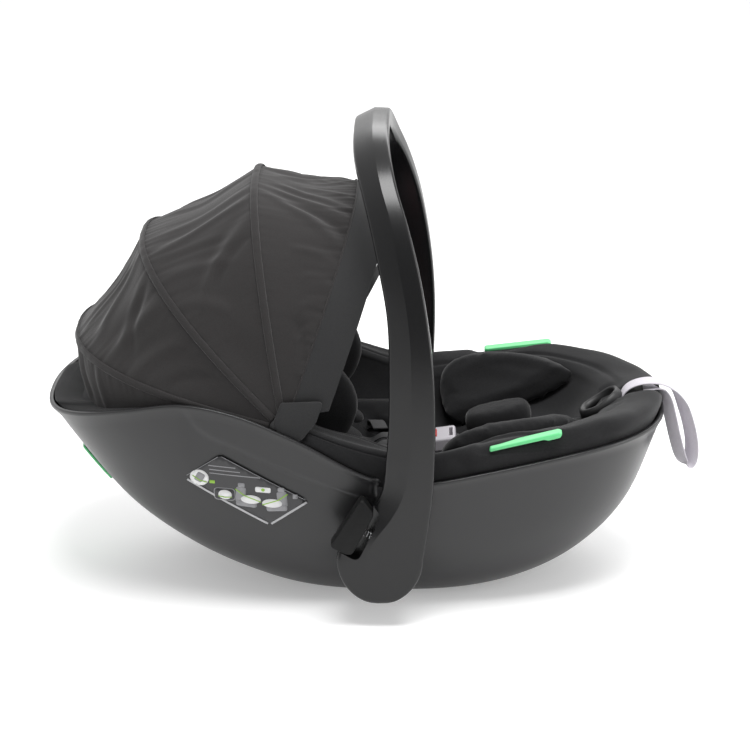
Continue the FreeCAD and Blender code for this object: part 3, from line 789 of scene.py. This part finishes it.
def coordinates(mesh):
    flat = np.empty(len(mesh.vertices) * 3)
    mesh.vertices.foreach_get("co", flat)
    return flat.reshape(-1, 3)


def swell_cushions():
    """Runs one cloth simulation over all the cushions and keeps its result."""
    scene = bpy.context.scene
    for soft in SOFT:
        cloth = soft["obj"].modifiers.new("cloth", "CLOTH")
        for setting, value in CLOTH.items():
            setattr(cloth.settings, setting, value)
        cloth.settings.effector_weights.gravity = 0.0
        cloth.point_cache.frame_start = 1
        cloth.point_cache.frame_end = 20
    for number in range(1, 21):
        scene.frame_set(number)
    for soft in SOFT:
        before = coordinates(soft["obj"].data)
        apply_modifiers(soft["obj"])
        mesh = soft["obj"].data
        move = coordinates(mesh) - before
        length = np.linalg.norm(move, axis=1, keepdims=True)
        move *= np.minimum(1, soft["cap"] / np.maximum(length, 1e-9))
        mesh.vertices.foreach_set("co", (before + move).ravel())
    scene.frame_set(1)
    for soft in SOFT:
        obj = soft["obj"]
        relax = obj.modifiers.new("relax", "SMOOTH")
        relax.factor = 0.5
        relax.iterations = 2
        divide = obj.modifiers.new("divide", "SUBSURF")
        divide.levels = 1
        divide.render_levels = 1
        apply_modifiers(obj)
        obj.data.shade_smooth()
        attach(obj, soft["body"])
        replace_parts(obj, soft["node"])


def cushions():
    for side in SIDES:
        soften(f"insert_wing_{side}", f"insert_cushion_{side}", "shell", 4.0, 5.0)
        soften(f"thigh_pad_{side}", f"thigh_cushion_{side}", "shell", 3.5, 3.0)
        soften(f"headrest_wing_{side}", f"headrest_side_{side}", "headrest", 4.5, 4.0)
        soften(f"shoulder_pad_{side}", f"shoulder_cushion_{side}", "shell", 3.0, 2.0)
    soften("body_insert", "insert_base", "shell", 4.5, 4.0)
    soften("headrest_pad", "headrest_cushion", "headrest", 4.0, 4.0)
    swell_cushions()


# --- straps
def strap_path(points, count):
    """A smooth line through points, evenly spaced."""
    points = np.asarray(points, float)
    knots = travel(points)
    return hermite(knots, points, np.linspace(0, knots[-1], count))


def strap(name, points, wide, width, thick, material, count=60):
    """A flat strap along a line; wide lists its width direction, evenly along it."""
    path = strap_path(points, count)
    along = np.gradient(path, axis=0)
    along /= np.linalg.norm(along, axis=1)[:, None]
    wide = np.asarray(wide, float)
    place = np.linspace(0, len(wide) - 1, count)
    across = np.stack([np.interp(place, np.arange(len(wide)), wide[:, k]) for k in range(3)], -1)
    across -= (across * along).sum(1)[:, None] * along
    across /= np.linalg.norm(across, axis=1)[:, None]
    up = np.cross(along, across)
    r = thick / 2
    profile = []
    for centre, turn0 in ((width / 2 - r, -90), (-(width / 2 - r), 90)):
        for step in range(5):
            turn = math.radians(turn0 + 45 * step)
            profile.append((centre + r * math.cos(turn), r * math.sin(turn)))
    rings = np.array([path + across * a + up * b for a, b in profile]).transpose(1, 0, 2)
    obj = tube_mesh(name, rings, material, "shell")
    return obj


def slope(along, out, y):
    """A point measured up the backrest and square out from it."""
    x = -62 - along * math.cos(BACK_SLOPE) + out * math.sin(BACK_SLOPE)
    return (x, y, 104 + along * math.sin(BACK_SLOPE) + out * math.cos(BACK_SLOPE))


# --- canopy
# Angle about the canopy's axis in degrees, and rise above it.
BOWS = {
    "front_bow": (61.5, 231.0),
    "middle_bow": (99.0, 239.0),
    "back_bow": (134.0, 236.0),
    "rear_bow": (166.0, 247.0),
}
CLOTH_HALF = 187.0
CLOTH_RISE = 235.0
CLOTH_THICK = 1.2
SEAM = (71.0, 231.0)
HEM_WIDE = 39.0
ARCH_LENGTH = 640.0
ACROSS = 300  # points along an arch of fabric
# Folds of each panel: from (share across, share round the arch) to the same, width, height.
FOLDS = {
    "front": [
        (0.02, 0.30, 1.00, 0.425, 7, 2.6), (0.00, 0.37, 0.95, 0.445, 6, 2.4),
        (0.00, 0.335, 0.75, 0.40, 5, -1.8), (0.05, 0.40, 0.80, 0.47, 6, 2.0),
        (0.00, 0.27, 0.60, 0.29, 5, 1.4), (0.00, 0.235, 0.5, 0.24, 4, 1.1),
        (0.00, 0.20, 0.45, 0.185, 5, 1.2), (0.00, 0.16, 0.40, 0.13, 5, 1.3),
        (0.10, 0.10, 0.55, 0.17, 9, -1.6), (0.00, 0.44, 0.5, 0.49, 5, 1.5),
    ],
    "middle": [
        (0.00, 0.40, 1.00, 0.37, 7, 2.6), (0.00, 0.35, 0.75, 0.22, 9, 2.4),
        (0.05, 0.31, 0.55, 0.24, 6, -2.2), (0.25, 0.28, 1.0, 0.31, 7, 1.8),
        (0.00, 0.44, 0.9, 0.43, 7, 1.6), (0.45, 0.20, 1.0, 0.25, 8, 1.6),
        (0.30, 0.33, 1.0, 0.34, 5, -1.2),
    ],
    "back": [
        (0.00, 0.41, 0.85, 0.36, 8, 2.8), (0.25, 0.44, 1.00, 0.42, 6, 2.2),
        (0.00, 0.27, 0.95, 0.30, 9, 2.8), (0.10, 0.33, 0.80, 0.26, 6, -2.6),
        (0.20, 0.20, 1.00, 0.24, 8, 2.2), (0.00, 0.47, 1.0, 0.46, 6, 1.6),
        (0.30, 0.12, 0.95, 0.18, 8, -1.8),
    ],
    "rear": [
        (0.00, 0.36, 1.00, 0.33, 8, 2.2), (0.00, 0.28, 1.00, 0.27, 7, -2.0),
        (0.00, 0.44, 1.00, 0.43, 7, 1.8),
    ],
}


def arch_angles(count, rise, foot):
    """Angles along an arch, spread evenly, that start foot above the pin."""
    low = math.asin((foot / rise) ** (ROUND / 2))
    fine = np.linspace(low, math.pi - low, 4000)
    y = -CLOTH_HALF * spow(np.cos(fine), 2 / ROUND)
    r = rise * np.sin(fine) ** (2 / ROUND)
    along = travel(np.stack([y, r], -1))
    return np.interp(np.linspace(0, along[-1], count), along, fine)


def outward(grid):
    """Normals of a canopy grid that point away from the child."""
    normal = grid_normals(grid)
    row, col = grid.shape[0] // 2, grid.shape[1] // 2
    return normal if normal[row, col, 2] > 0 else -normal


def fold_height(folds, share, arc, width, seed):
    """The height of a panel's folds, drawn on both flanks with small differences."""
    rng = np.random.default_rng(seed)
    height = np.zeros(np.broadcast(share, arc).shape)
    for mirror in (False, True):
        place = 1 - arc if mirror else arc
        for a0, q0, a1, q1, wide, tall in folds:
            shift = rng.normal(0, 0.012, 3) if mirror else np.zeros(3)
            start = np.array([a0 * width, (q0 + shift[0]) * ARCH_LENGTH])
            end = np.array([a1 * width, (q1 + shift[1]) * ARCH_LENGTH])
            run = end - start
            length = np.linalg.norm(run)
            run = run / length
            px, pq = share * width - start[0], place * ARCH_LENGTH - start[1]
            along = (px * run[0] + pq * run[1]) / length
            bow = 5 * np.sin(math.pi * np.clip(along, 0, 1)) * (1 + 20 * shift[2])
            off = -px * run[1] + pq * run[0] - bow
            ends = smooth((along + 0.12) / 0.25) * smooth((1.15 - along) / 0.4)
            ridge = np.exp(-((off / wide) ** 2)) - 0.45 * np.exp(-(((off - 1.9 * wide) / wide) ** 2))
            height = height + tall * ends * ridge
    return height


def gathers(arc, distance, seed):
    """Fine pleats that start at a seam and die away from it."""
    pitch, reach = 9.0, 22.0
    rng = np.random.default_rng(seed)
    place = arc * ARCH_LENGTH
    wave = sum(
        np.cos(2 * math.pi * place / (pitch * k) + rng.uniform(0, 6.3)) * w
        for k, w in ((1.0, 0.5), (1.37, 0.6), (2.1, 0.7), (3.3, 0.6))
    )
    return 0.42 * wave * np.exp(-np.maximum(distance, 0) / reach)


def arch_grid(angle, rise, foot, across):
    """Rows of an arch about the pin at angles in degrees; rise is one value per row."""
    arch = arch_angles(across, CLOTH_RISE, foot)
    spread = np.sin(arch) ** (2 / ROUND)
    y = -CLOTH_HALF * spow(np.cos(arch), 2 / ROUND)
    radius = np.asarray(rise)[:, None] * spread[None, :]
    turn = np.radians(angle)[:, None]
    return np.stack([
        PIN[0] + radius * np.cos(turn),
        np.broadcast_to(y, radius.shape),
        PIN[1] + radius * np.sin(turn),
    ], axis=-1), radius


def canopy_grid(kind, start, end, seed, sag, pleats, foot=14.0):
    """A fabric panel pulled nearly straight between two arches at (angle, rise)."""
    (a0, r0), (a1, r1) = start, end
    share = np.linspace(0, 1, 64)
    half = math.radians(a1 - a0) / 2
    off = (share - 0.5) * 2 * half
    chord = lerp(r0, r1, share) * math.cos(half) / np.cos(off)
    grid, radius = arch_grid(lerp(a0, a1, share), chord, foot, ACROSS)
    normal = outward(grid)
    arc = np.linspace(0, 1, ACROSS)[None, :]
    span = share[:, None]
    width = 200 * abs(a1 - a0) * math.pi / 180
    crown = np.exp(-(((arc - 0.5) / 0.16) ** 2))
    hang = -np.sin(math.pi * span) * (sag * crown + 0.35 * sag)
    height = fold_height(FOLDS[kind], span, arc, width, seed) * np.sin(math.pi * span) ** 0.35
    fine = gathers(arc, span * width, seed + 1) * pleats[0]
    fine = fine + gathers(arc, (1 - span) * width, seed + 2) * pleats[1]
    slow = 0.9 * Ripple(seed + 3, 70)(grid) * np.sin(math.pi * span)
    flat = smooth((radius - foot) / 70)
    lift = (hang + height + fine + slow) * flat
    lift[0] = lift[-1] = 0
    return grid + normal * lift[..., None]


def hem_grid():
    """The plain band in front of the seam: arches in planes parallel to the seam's."""
    lean = math.radians(SEAM[0])
    ahead = np.array([math.sin(lean), 0, -math.cos(lean)])
    up = np.array([math.cos(lean), 0, math.sin(lean)])
    rows = []
    for share in np.linspace(0, 1, 26):
        rise = lerp(SEAM[1] + 0.6, 229.5, share)
        arch = arch_angles(ACROSS, CLOTH_RISE, lerp(15.0, 37.0, share))
        radius = rise * np.sin(arch) ** (2 / ROUND)
        y = -(CLOTH_HALF + 0.5) * spow(np.cos(arch), 2 / ROUND)
        base = np.array([PIN[0], 0, PIN[1]]) + ahead * HEM_WIDE * share
        rows.append(base + up * radius[:, None] + np.array([0, 1, 0]) * y[:, None])
    return np.array(rows)


def cloth_piece(name, grid, bodies, node, material="canopy_fabric", thick=CLOTH_THICK):
    """A panel of canopy fabric, riding one body, or left unattached in place when it lies between two."""
    inward = 1 if (grid_normals(grid) * outward(grid)).sum() < 0 else -1
    obj = sheet_mesh(name, grid, inward * thick, MAT[material])
    if isinstance(bodies, str):
        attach(obj, bodies)
    else:
        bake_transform(obj)
    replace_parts(obj, node)


def bow_sleeve(name, angle, rise, body, half_wide=4.2, tall=1.7):
    """The sewn sleeve over a bow: a low rounded ridge."""
    grid, _ = arch_grid(np.array([angle - 0.5, angle, angle + 0.5]), np.full(3, rise), 16.0, 260)
    line_points = grid[1]
    up = outward(grid)[1]
    turn = math.radians(angle)
    tangent = np.array([-math.sin(turn), 0, math.cos(turn)])
    ripple = 1 + 0.10 * Ripple(int(angle), 12)(line_points)
    rings = []
    for step in range(12):
        a = 2 * math.pi * step / 12
        lift = (0.2 + tall * ripple * math.sin(a)) if math.sin(a) > 0 else 0.2 + 1.2 * math.sin(a)
        rings.append(line_points + tangent * half_wide * math.cos(a) + up * np.reshape(lift, (-1, 1)))
    obj = tube_mesh(name, np.array(rings).transpose(1, 0, 2), MAT["canopy_fabric"], body)
    return obj


def plate(name, outline, y0, y1, material, body, edge):
    """A side-view outline (x, z, corner radius) as a thin plate with softened edges."""
    low, high = sorted((y0, y1))
    layers = ((low, edge), (low + edge * 0.6, 0), (high - edge * 0.6, 0), (high, edge))
    return side_layers(name, rounded_polygon(outline), layers, material, body)


def canopy():
    _, middle, back, rear = BOWS.values()
    panels = (
        ("front", SEAM, middle, ("front_bow", "middle_bow"), 11, 3.5, (1.5, 0.4)),
        ("middle", middle, back, ("middle_bow", "back_bow"), 22, 5.0, (0.4, 0.8)),
        ("back", back, rear, ("back_bow", "shell"), 33, 7.0, (0.6, 0.8)),
    )
    for kind, start, end, bodies, seed, sag, pleats in panels:
        grid = canopy_grid(kind, start, end, seed, sag, pleats)
        cloth_piece(f"canopy_panel_{kind}", grid, bodies, f"canopy_{kind}_panel")
    grid = canopy_grid("rear", rear, (181.0, 230.0), 44, 1.0, (0.6, 0.2), foot=60.0)
    cloth_piece("canopy_panel_rear", grid, "shell", "canopy_rear_panel")
    cloth_piece("hem_band", hem_grid(), "front_bow", "canopy_hem", "hem_fabric", thick=1.8)
    for name, (angle, rise) in list(BOWS.items())[1:]:
        bow_sleeve(f"sleeve_{name}", angle, rise, "shell" if name == "rear_bow" else name)
    bow_sleeve("hem_seam", SEAM[0] + 0.1, SEAM[1] + 0.3, "front_bow", 0.9, 0.9)
    tab = [(-98, 248, 4), (-52, 250, 5), (-60, 226, 14), (-78, 203, 11), (-99, 205, 12), (-106, 226, 8)]
    for side, sign in SIDES.items():
        obj = plate(f"hem_tab_{side}", tab, sign * 190.6, sign * 192.4, MAT["hem_fabric"], "front_bow", 0.7)


# --- handle
# Height, left edge, crease, right edge of a leg seen from the side.
LEG = [
    (27, 2, 9, 16),
    (31, -12, 7, 25),
    (38, -20, 2, 36),
    (48, -28, -3, 45),
    (62, -36, -8, 52),
    (79, -38, -7, 56),
    (104, -26, 5, 60),
    (126, -4, 21, 63),
    (147, 8.5, 32, 65.5),
    (193, 15.5, 40.5, 68.0),
    (271, 18.2, 42.7, 67.3),
    (350, 15, 37.4, 58.2),
    (392, 7, 29, 50),
    (440, -4.3, 18.2, 36),
    (470, -12.9, 7.5, 25),
    (502, -22.8, -1.5, 16.5),
    (520, -25, -4.4, 14),
]
HANDLE_OUT, HANDLE_TOP, HANDLE_THICK, HANDLE_ROUND = 222.0, 517.0, 22.0, 3.0
HUB_LOW = PIVOT[1] - 51.5  # underside of the handle's hubs


def handle_line(angle, drop):
    """The handle's line seen from the front, drop inside its outer face."""
    reach = HANDLE_OUT - drop
    rise = HANDLE_TOP - PIVOT[1] - drop
    y = -reach * spow(np.cos(angle), 2 / HANDLE_ROUND)
    z = PIVOT[1] + rise * np.abs(np.sin(angle)) ** (2 / HANDLE_ROUND)
    return y, z


def rounded_polygon(corners, steps=6):
    """Corners (x, y, radius) with each corner turned into a smooth curve."""
    points = []
    count = len(corners)
    for i, (x, y, radius) in enumerate(corners):
        p = np.array([x, y])
        a = np.array(corners[i - 1][:2]) - p
        b = np.array(corners[(i + 1) % count][:2]) - p
        la, lb = np.linalg.norm(a), np.linalg.norm(b)
        a, b = a / la, b / lb
        half = math.acos(max(-1, min(1, float(a @ b)))) / 2
        reach = min(radius / max(math.tan(half), 1e-3), 0.45 * la, 0.45 * lb)
        start, end = p + a * reach, p + b * reach
        for t in np.linspace(0, 1, steps):
            points.append((1 - t) ** 2 * start + 2 * t * (1 - t) * p + t**2 * end)
    return np.array(points)


def handle():
    """One sweep from the right hub over the top to the left hub."""
    fine = np.linspace(0, math.pi, 4001)
    along = travel(np.stack(handle_line(fine, HANDLE_THICK / 2), -1))
    arch = np.interp(np.linspace(0, along[-1], 170), along, fine)
    y, z = handle_line(arch, HANDLE_THICK / 2)
    y0, z0 = handle_line(np.clip(arch - 0.002, 0, math.pi), HANDLE_THICK / 2)
    y1, z1 = handle_line(np.clip(arch + 0.002, 0, math.pi), HANDLE_THICK / 2)
    run = np.stack([y1 - y0, z1 - z0], -1)
    run /= np.linalg.norm(run, axis=1)[:, None]
    run[0], run[-1] = (0, 1), (0, -1)
    turn = np.linspace(0, math.pi / 2, 34)[:-1]
    foot = HUB_LOW + (PIVOT[1] - HUB_LOW) * (1 - np.cos(turn)) + 0.4
    stations = [(-(HANDLE_OUT - 11), h, (0.0, 1.0)) for h in foot]
    stations += [(a, b, tuple(c)) for a, b, c in zip(y, z, run)]
    stations += [(HANDLE_OUT - 11, h, (0.0, -1.0)) for h in foot[::-1]]
    leg = np.array(LEG, float)
    rings = []
    for side, height, (ry, rz) in stations:
        left, crease, right = hermite(leg[:, 0], leg[:, 1:], height)
        end = max(0.0, 1 - max(0.0, (height - HUB_LOW) / 5.0))
        slim = 5.0 * (1 - math.sqrt(max(0.0, 1 - end * end)))
        if height < PIVOT[1]:
            reach = math.sqrt(max(0.0, 1 - ((PIVOT[1] - height) / 52.0) ** 2))
            left, right = 9 - 47 * reach, 9 + 47 * reach
            crease = lerp(left, right, 0.33)
        t = HANDLE_THICK / 2 - slim
        fade = smooth((height - 62) / 60)
        bevel = lerp(1.5, 10.5, float(fade))
        ring = rounded_polygon([
            (left, -t, 4.0), (left, t - bevel, 5.0), (crease, t, lerp(14.0, 1.2, float(fade))),
            (right, t - 0.6, 4.5), (right, -t, 5.0),
        ])
        out = np.array([0, -rz, ry])
        centre = np.array([0, side, height])
        rings.append([centre + np.array([px, 0, 0]) + out * pn for px, pn in ring])
    obj = tube_mesh("carry_handle", rings, MAT["handle_plastic"])
    for sign in SIDES.values():
        room = [(sign * depth, 0.0) for depth in (203.0, 226.0)]
        cut_with(obj, side_layers("room", button_outline(0.7, 3.0), room, MAT["handle_plastic"]))
    shade_by_angle(obj, 32)
    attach(obj, "handle")
    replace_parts(obj, "handle")


# Side-view corners of a handle button, and the direction in which it is pressed.
BUTTON = [(-46.0, 93.5, 5.0), (-10.5, 150.5, 5.0), (3.0, 131.0, 8.0), (-22.0, 82.0, 8.0)]
BUTTON_PRESS = np.array([math.cos(math.radians(150)), math.sin(math.radians(150))])


def button_outline(grow=0.0, longer=0.0):
    """The outline of a button, or of the room cut for it, which is larger and longer."""
    centre = np.array(BUTTON)[:, :2].mean(0)
    corners = []
    for x, z, radius in BUTTON:
        p = (np.array([x, z]) - centre) * (1 + grow / 26)
        if p @ BUTTON_PRESS < 0:
            p = p - BUTTON_PRESS * longer * 2.7
        corners.append((p[0] + centre[0], p[1] + centre[1], radius))
    return rounded_polygon(corners, 8)


def handle_buttons():
    layers = ((204.0, 0.0), (219.0, 0.0), (220.6, 0.6), (221.6, 2.0))
    for side, sign in SIDES.items():
        obj = side_layers(f"release_button_{side}", button_outline(),
                          [(sign * depth, pull) for depth, pull in layers], MAT["button_rubber"])
        shade_by_angle(bevelled(obj, 1.2), 40)
        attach(obj, f"handle_button_{side}")
        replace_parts(obj, f"handle_button_{side}")


# --- small parts
# A lap guide: its middle, its side view about that, and how it slopes and toes in.
GUIDE_AT = (166, 169, 199.5)
GUIDE = [(-40, -2.2, 3), (-39, 1.8, 3), (37, 2.4, 3), (41, 0.2, 3), (38, -4.4, 3),
         (25, -4.6, 1.5), (20, -2.4, 1.5)]
GUIDE_SLOPE, GUIDE_TOE = math.radians(10), math.radians(11)


def belt_guides():
    """Green lap-belt hooks on the roll: a slim lip with a thicker hooked end."""
    outline = rounded_polygon(GUIDE, 5)
    for side, sign in SIDES.items():
        rings = []
        for y, shrink in ((-7.5, 1.6), (-6.6, 0.4), (-5.2, 0), (5.2, 0), (6.6, 0.4), (7.5, 1.6)):
            flat = outline * np.array([1 - shrink / 42, 1 - shrink / 6])
            x = flat[:, 0] * math.cos(GUIDE_SLOPE) - flat[:, 1] * math.sin(GUIDE_SLOPE)
            z = flat[:, 0] * math.sin(GUIDE_SLOPE) + flat[:, 1] * math.cos(GUIDE_SLOPE)
            across = y - x * math.tan(GUIDE_TOE)
            place = (GUIDE_AT[0] + x, sign * (GUIDE_AT[1] + across), GUIDE_AT[2] + z)
            rings.append(np.stack(place, -1))
        obj = tube_mesh(f"lap_guide_{side}", rings, MAT["green_plastic"], "shell")
        shade_by_angle(obj, 50)
        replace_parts(obj, f"belt_guide_{side}")


def rear_guide():
    """The green shoulder-belt hook: a thin lip that follows the back of the shell on two feet."""
    levels = hull.level(np.linspace(104, 143, 12))
    around = np.linspace(math.pi - 0.125, math.pi + 0.125, 16)
    grid = np.array([hull.point(around, np.full_like(around, level), -3.6) for level in levels])
    obj = sheet_mesh("rear_guide_lip", grid, -3.0, MAT["green_plastic"], "shell")
    shade_by_angle(bevelled(obj, 1.0), 50)
    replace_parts(obj, "rear_belt_guide")
    foot = [(-329, 136, 1.5), (-318, 136, 1.5), (-305, 113, 1.5), (-311, 110, 1.5)]
    for side, sign in SIDES.items():
        foot_piece = plate(f"rear_guide_foot_{side}", foot, sign * 12, sign * 20,
                           MAT["green_plastic"], "shell", 0.5)


def pull_loop():
    """The grey webbing loop that tightens the harness, out of the collar and over the rim."""
    points = [LOOP_START + np.array([x, 0, z]) for x, z in LOOP]
    curve = bpy.data.curves.new("loop_line", "CURVE")
    curve.dimensions = "3D"
    spline = curve.splines.new("NURBS")
    spline.points.add(len(points) - 1)
    for point, at in zip(spline.points, points):
        point.co = (*(at * MM), 1)
    spline.order_u = 3
    spline.use_endpoint_u = True
    spline.resolution_u = 8
    guide = bpy.data.objects.new("loop_line", curve)
    bpy.context.scene.collection.objects.link(guide)
    bpy.context.view_layer.update()
    path = coordinates(bpy.data.meshes.new_from_object(guide)) / MM
    bpy.data.objects.remove(guide)
    twist = LOOP_TWIST * smooth((travel(path) - 50) / 60)
    wide = np.stack([np.sin(twist), np.cos(twist), 0 * twist], -1)
    obj = strap("grey_pull_loop", path, wide, 24, 1.5, MAT["webbing_grey"], 160)
    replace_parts(obj, "pull_loop")


BUCKLE_AT, BUCKLE_TILT = (66, 139), math.radians(-8)
HARNESS_WIDE, HARNESS_THICK = 17, 1.4


def harness():
    """The shoulder, hip and crotch straps."""

    def near(x, y, z):
        """A point given from the buckle's middle, along its tilt."""
        c, s = math.cos(BUCKLE_TILT), math.sin(BUCKLE_TILT)
        return (BUCKLE_AT[0] + x * c + z * s, y, BUCKLE_AT[1] - x * s + z * c)

    flat = ((0, 1, 0), (0, 1, 0))
    for side, sign in SIDES.items():
        obj = strap(f"shoulder_webbing_{side}", [
            slope(63, 22, sign * 38), slope(63, 46, sign * 38), slope(52, 51, sign * 37),
            slope(10, 52, sign * 32), slope(-40, 46, sign * 24), near(-55, sign * 13, 9),
            near(-45, sign * 12.5, 8),
        ], flat, HARNESS_WIDE, HARNESS_THICK, MAT["webbing_black"])
        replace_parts(obj, f"shoulder_strap_{side}")
        obj = strap(f"hip_webbing_{side}", [
            (-2, sign * 84, 127), (-2, sign * 74, 136), (2, sign * 50, 143), (6, sign * 28, 143),
        ], ((1, 0, 0), (1, 0, 0)), HARNESS_WIDE, HARNESS_THICK, MAT["webbing_black"])
        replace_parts(obj, f"hip_strap_{side}")
    obj = strap("crotch_webbing", [(103, 0, 128), (99, 0, 137), near(28.5, 0, 0)],
                flat, 24, 2.0, MAT["webbing_black"])
    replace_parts(obj, "crotch_strap")


# --- sticker
# The sticker's corners, seen from the side: x, z and radius.
LABEL_CORNERS = [(-204, 155, 7), (-165, 185, 7), (-69, 133, 7), (-111, 101, 7)]


def on_flank(x, z, lift):
    """A point on the hull's right flank."""
    return (x, -float(hull.half_at(x, z)) - lift, z)


def film(name, outline, lift, thick, material):
    """A thin film of any outline (x, z) that follows the hull's right flank."""
    bm = bmesh.new()
    bm.faces.new([bm.verts.new((x, z, 0)) for x, z in outline])
    bmesh.ops.triangulate(bm, faces=bm.faces[:])
    for _ in range(4):
        long_edges = [e for e in bm.edges if e.calc_length() > 9]
        if not long_edges:
            break
        bmesh.ops.subdivide_edges(bm, edges=long_edges, cuts=1)
        bmesh.ops.triangulate(bm, faces=bm.faces[:])
    bm.verts.index_update()
    flat = [(v.co.x, v.co.y) for v in bm.verts]
    triangles = [tuple(v.index for v in f.verts) for f in bm.faces]
    border = [tuple(v.index for v in e.verts) for e in bm.edges if len(e.link_faces) == 1]
    bm.free()
    count = len(flat)
    points = [on_flank(x, z, lift) for x, z in flat]
    points += [on_flank(x, z, lift + thick) for x, z in flat]
    faces = triangles + [tuple(i + count for i in t) for t in triangles]
    faces += [(a, b, b + count, a + count) for a, b in border]
    obj = add_mesh(name, points, faces, material, "shell")
    return obj


def round_box(x, z, wide, tall, radius, turn=0.0):
    ring = rounded_polygon([
        (-wide / 2, -tall / 2, radius), (wide / 2, -tall / 2, radius),
        (wide / 2, tall / 2, radius), (-wide / 2, tall / 2, radius),
    ], 5)
    c, s = math.cos(math.radians(turn)), math.sin(math.radians(turn))
    return [(x + a * c - b * s, z + a * s + b * c) for a, b in ring]


def round_spot(x, z, wide, tall):
    turn = np.linspace(0, 2 * math.pi, 28, endpoint=False)
    return [(x + wide / 2 * math.cos(a), z + tall / 2 * math.sin(a)) for a in turn]


def belt(points, wide):
    """A strip of even width along points (x, z)."""
    points = np.array(points, float)
    along = np.gradient(points, axis=0)
    side = np.stack([-along[:, 1], along[:, 0]], -1)
    side /= np.linalg.norm(side, axis=1)[:, None]
    return [*map(tuple, points + side * wide / 2), *map(tuple, (points - side * wide / 2)[::-1])]


def sticker():
    """A generic sticker of seats and belts on the shell's right flank, with no lettering."""
    outline = [tuple(p) for p in rounded_polygon(LABEL_CORNERS, 7)]
    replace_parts(film("sticker_base", outline, -1.2, 1.45, MAT["label_film"]), "label")
    silver, white, grey = MAT["label_silver"], MAT["label_white"], MAT["label_grey"]
    green, dark = MAT["label_green"], MAT["label_film"]
    # Name, outline, how far it stands out, material; lines and rings are thinner than the rest.
    shapes = [
        ("edge_low", belt([(-202, 151.5), (-160, 127.5), (-114, 102.2)], 2.6), 0.25, silver),
        ("edge_foot", belt([(-110.5, 102.2), (-90, 118), (-71, 132)], 2.6), 0.25, silver),
        ("edge_head", belt([(-202.5, 156.5), (-184, 171), (-167, 183.5)], 0.6), 0.25, grey),
        ("edge_top", belt([(-163, 184), (-115, 158), (-72, 134.5)], 0.6), 0.25, grey),
        ("disc", round_spot(-188.4, 155.5, 21, 20), 0.25, white),
        ("disc_seat", round_box(-188.0, 156, 9, 12, 2.5, -28), 0.4, grey),
        ("disc_belt", belt([(-196, 157.5), (-188, 152), (-180, 150.5)], 1.3), 0.55, green),
        ("dash", round_box(-174.3, 151.6, 6, 4, 0.6), 0.25, green),
    ]
    for number, (x, z, wide) in enumerate(((-163, 171.5, 30), (-160, 166.5, 34), (-149, 161.5, 56))):
        shapes.append((f"bar_{number}", round_box(x, z, wide, 1.1, 0.5, -2.5), 0.25, grey))
    shapes += [
        ("child_ring", round_box(-161, 137, 24, 16, 5), 0.25, grey),
        ("child_field", round_box(-161, 137, 22, 14, 4.5), 0.35, dark),
        ("child", round_spot(-160.5, 136.5, 15, 12), 0.5, white),
        ("child_belt", belt([(-168, 134), (-160, 133), (-153, 134)], 1.2), 0.65, green),
    ]
    for number, (x, z, way) in enumerate(((-143.2, 138, 1), (-97.8, 134.5, -1))):
        line_points = [(x - 6 * way, z + 7), (x + 4 * way, z - 1), (x + 22 * way, z - 8)]
        shapes += [
            (f"seat_back_{number}", round_box(x, z, 11, 19, 2.5, -4 * way), 0.25, grey),
            (f"seat_head_{number}", round_box(x + way, z + 12, 7.5, 5.5, 2), 0.25, grey),
            (f"seat_base_{number}", round_box(x + 6 * way, z - 11.5, 23, 7.5, 3, -5 * way), 0.25, grey),
            (f"carrier_{number}", round_spot(x + 11 * way, z - 5.5, 22, 11), 0.4, white),
            (f"belt_{number}", belt(line_points, 1.3), 0.55, green),
        ]
    shapes += [
        ("mark", round_box(-118.6, 145.5, 17, 6.5, 2, -3), 0.25, white),
        ("mark_dot", round_spot(-118.6, 145.5, 4, 4), 0.4, green),
        ("corner_box", round_box(-83.5, 138.5, 5.5, 5.5, 0.8), 0.25, grey),
    ]
    for name, outline, lift, material in shapes:
        thick = 0.1 if name.startswith(("bar", "child_ring", "child_field")) else 0.12
        film(f"sticker_{name}", outline, lift, thick, material)


# --- build
add_camera()
pull_loop()
own_finishes()
add_stage()
shell()
seat_cover()
strap_flap()
strap_collar()
cushions()
canopy()
handle()
handle_buttons()
belt_guides()
rear_guide()
harness()
sticker()
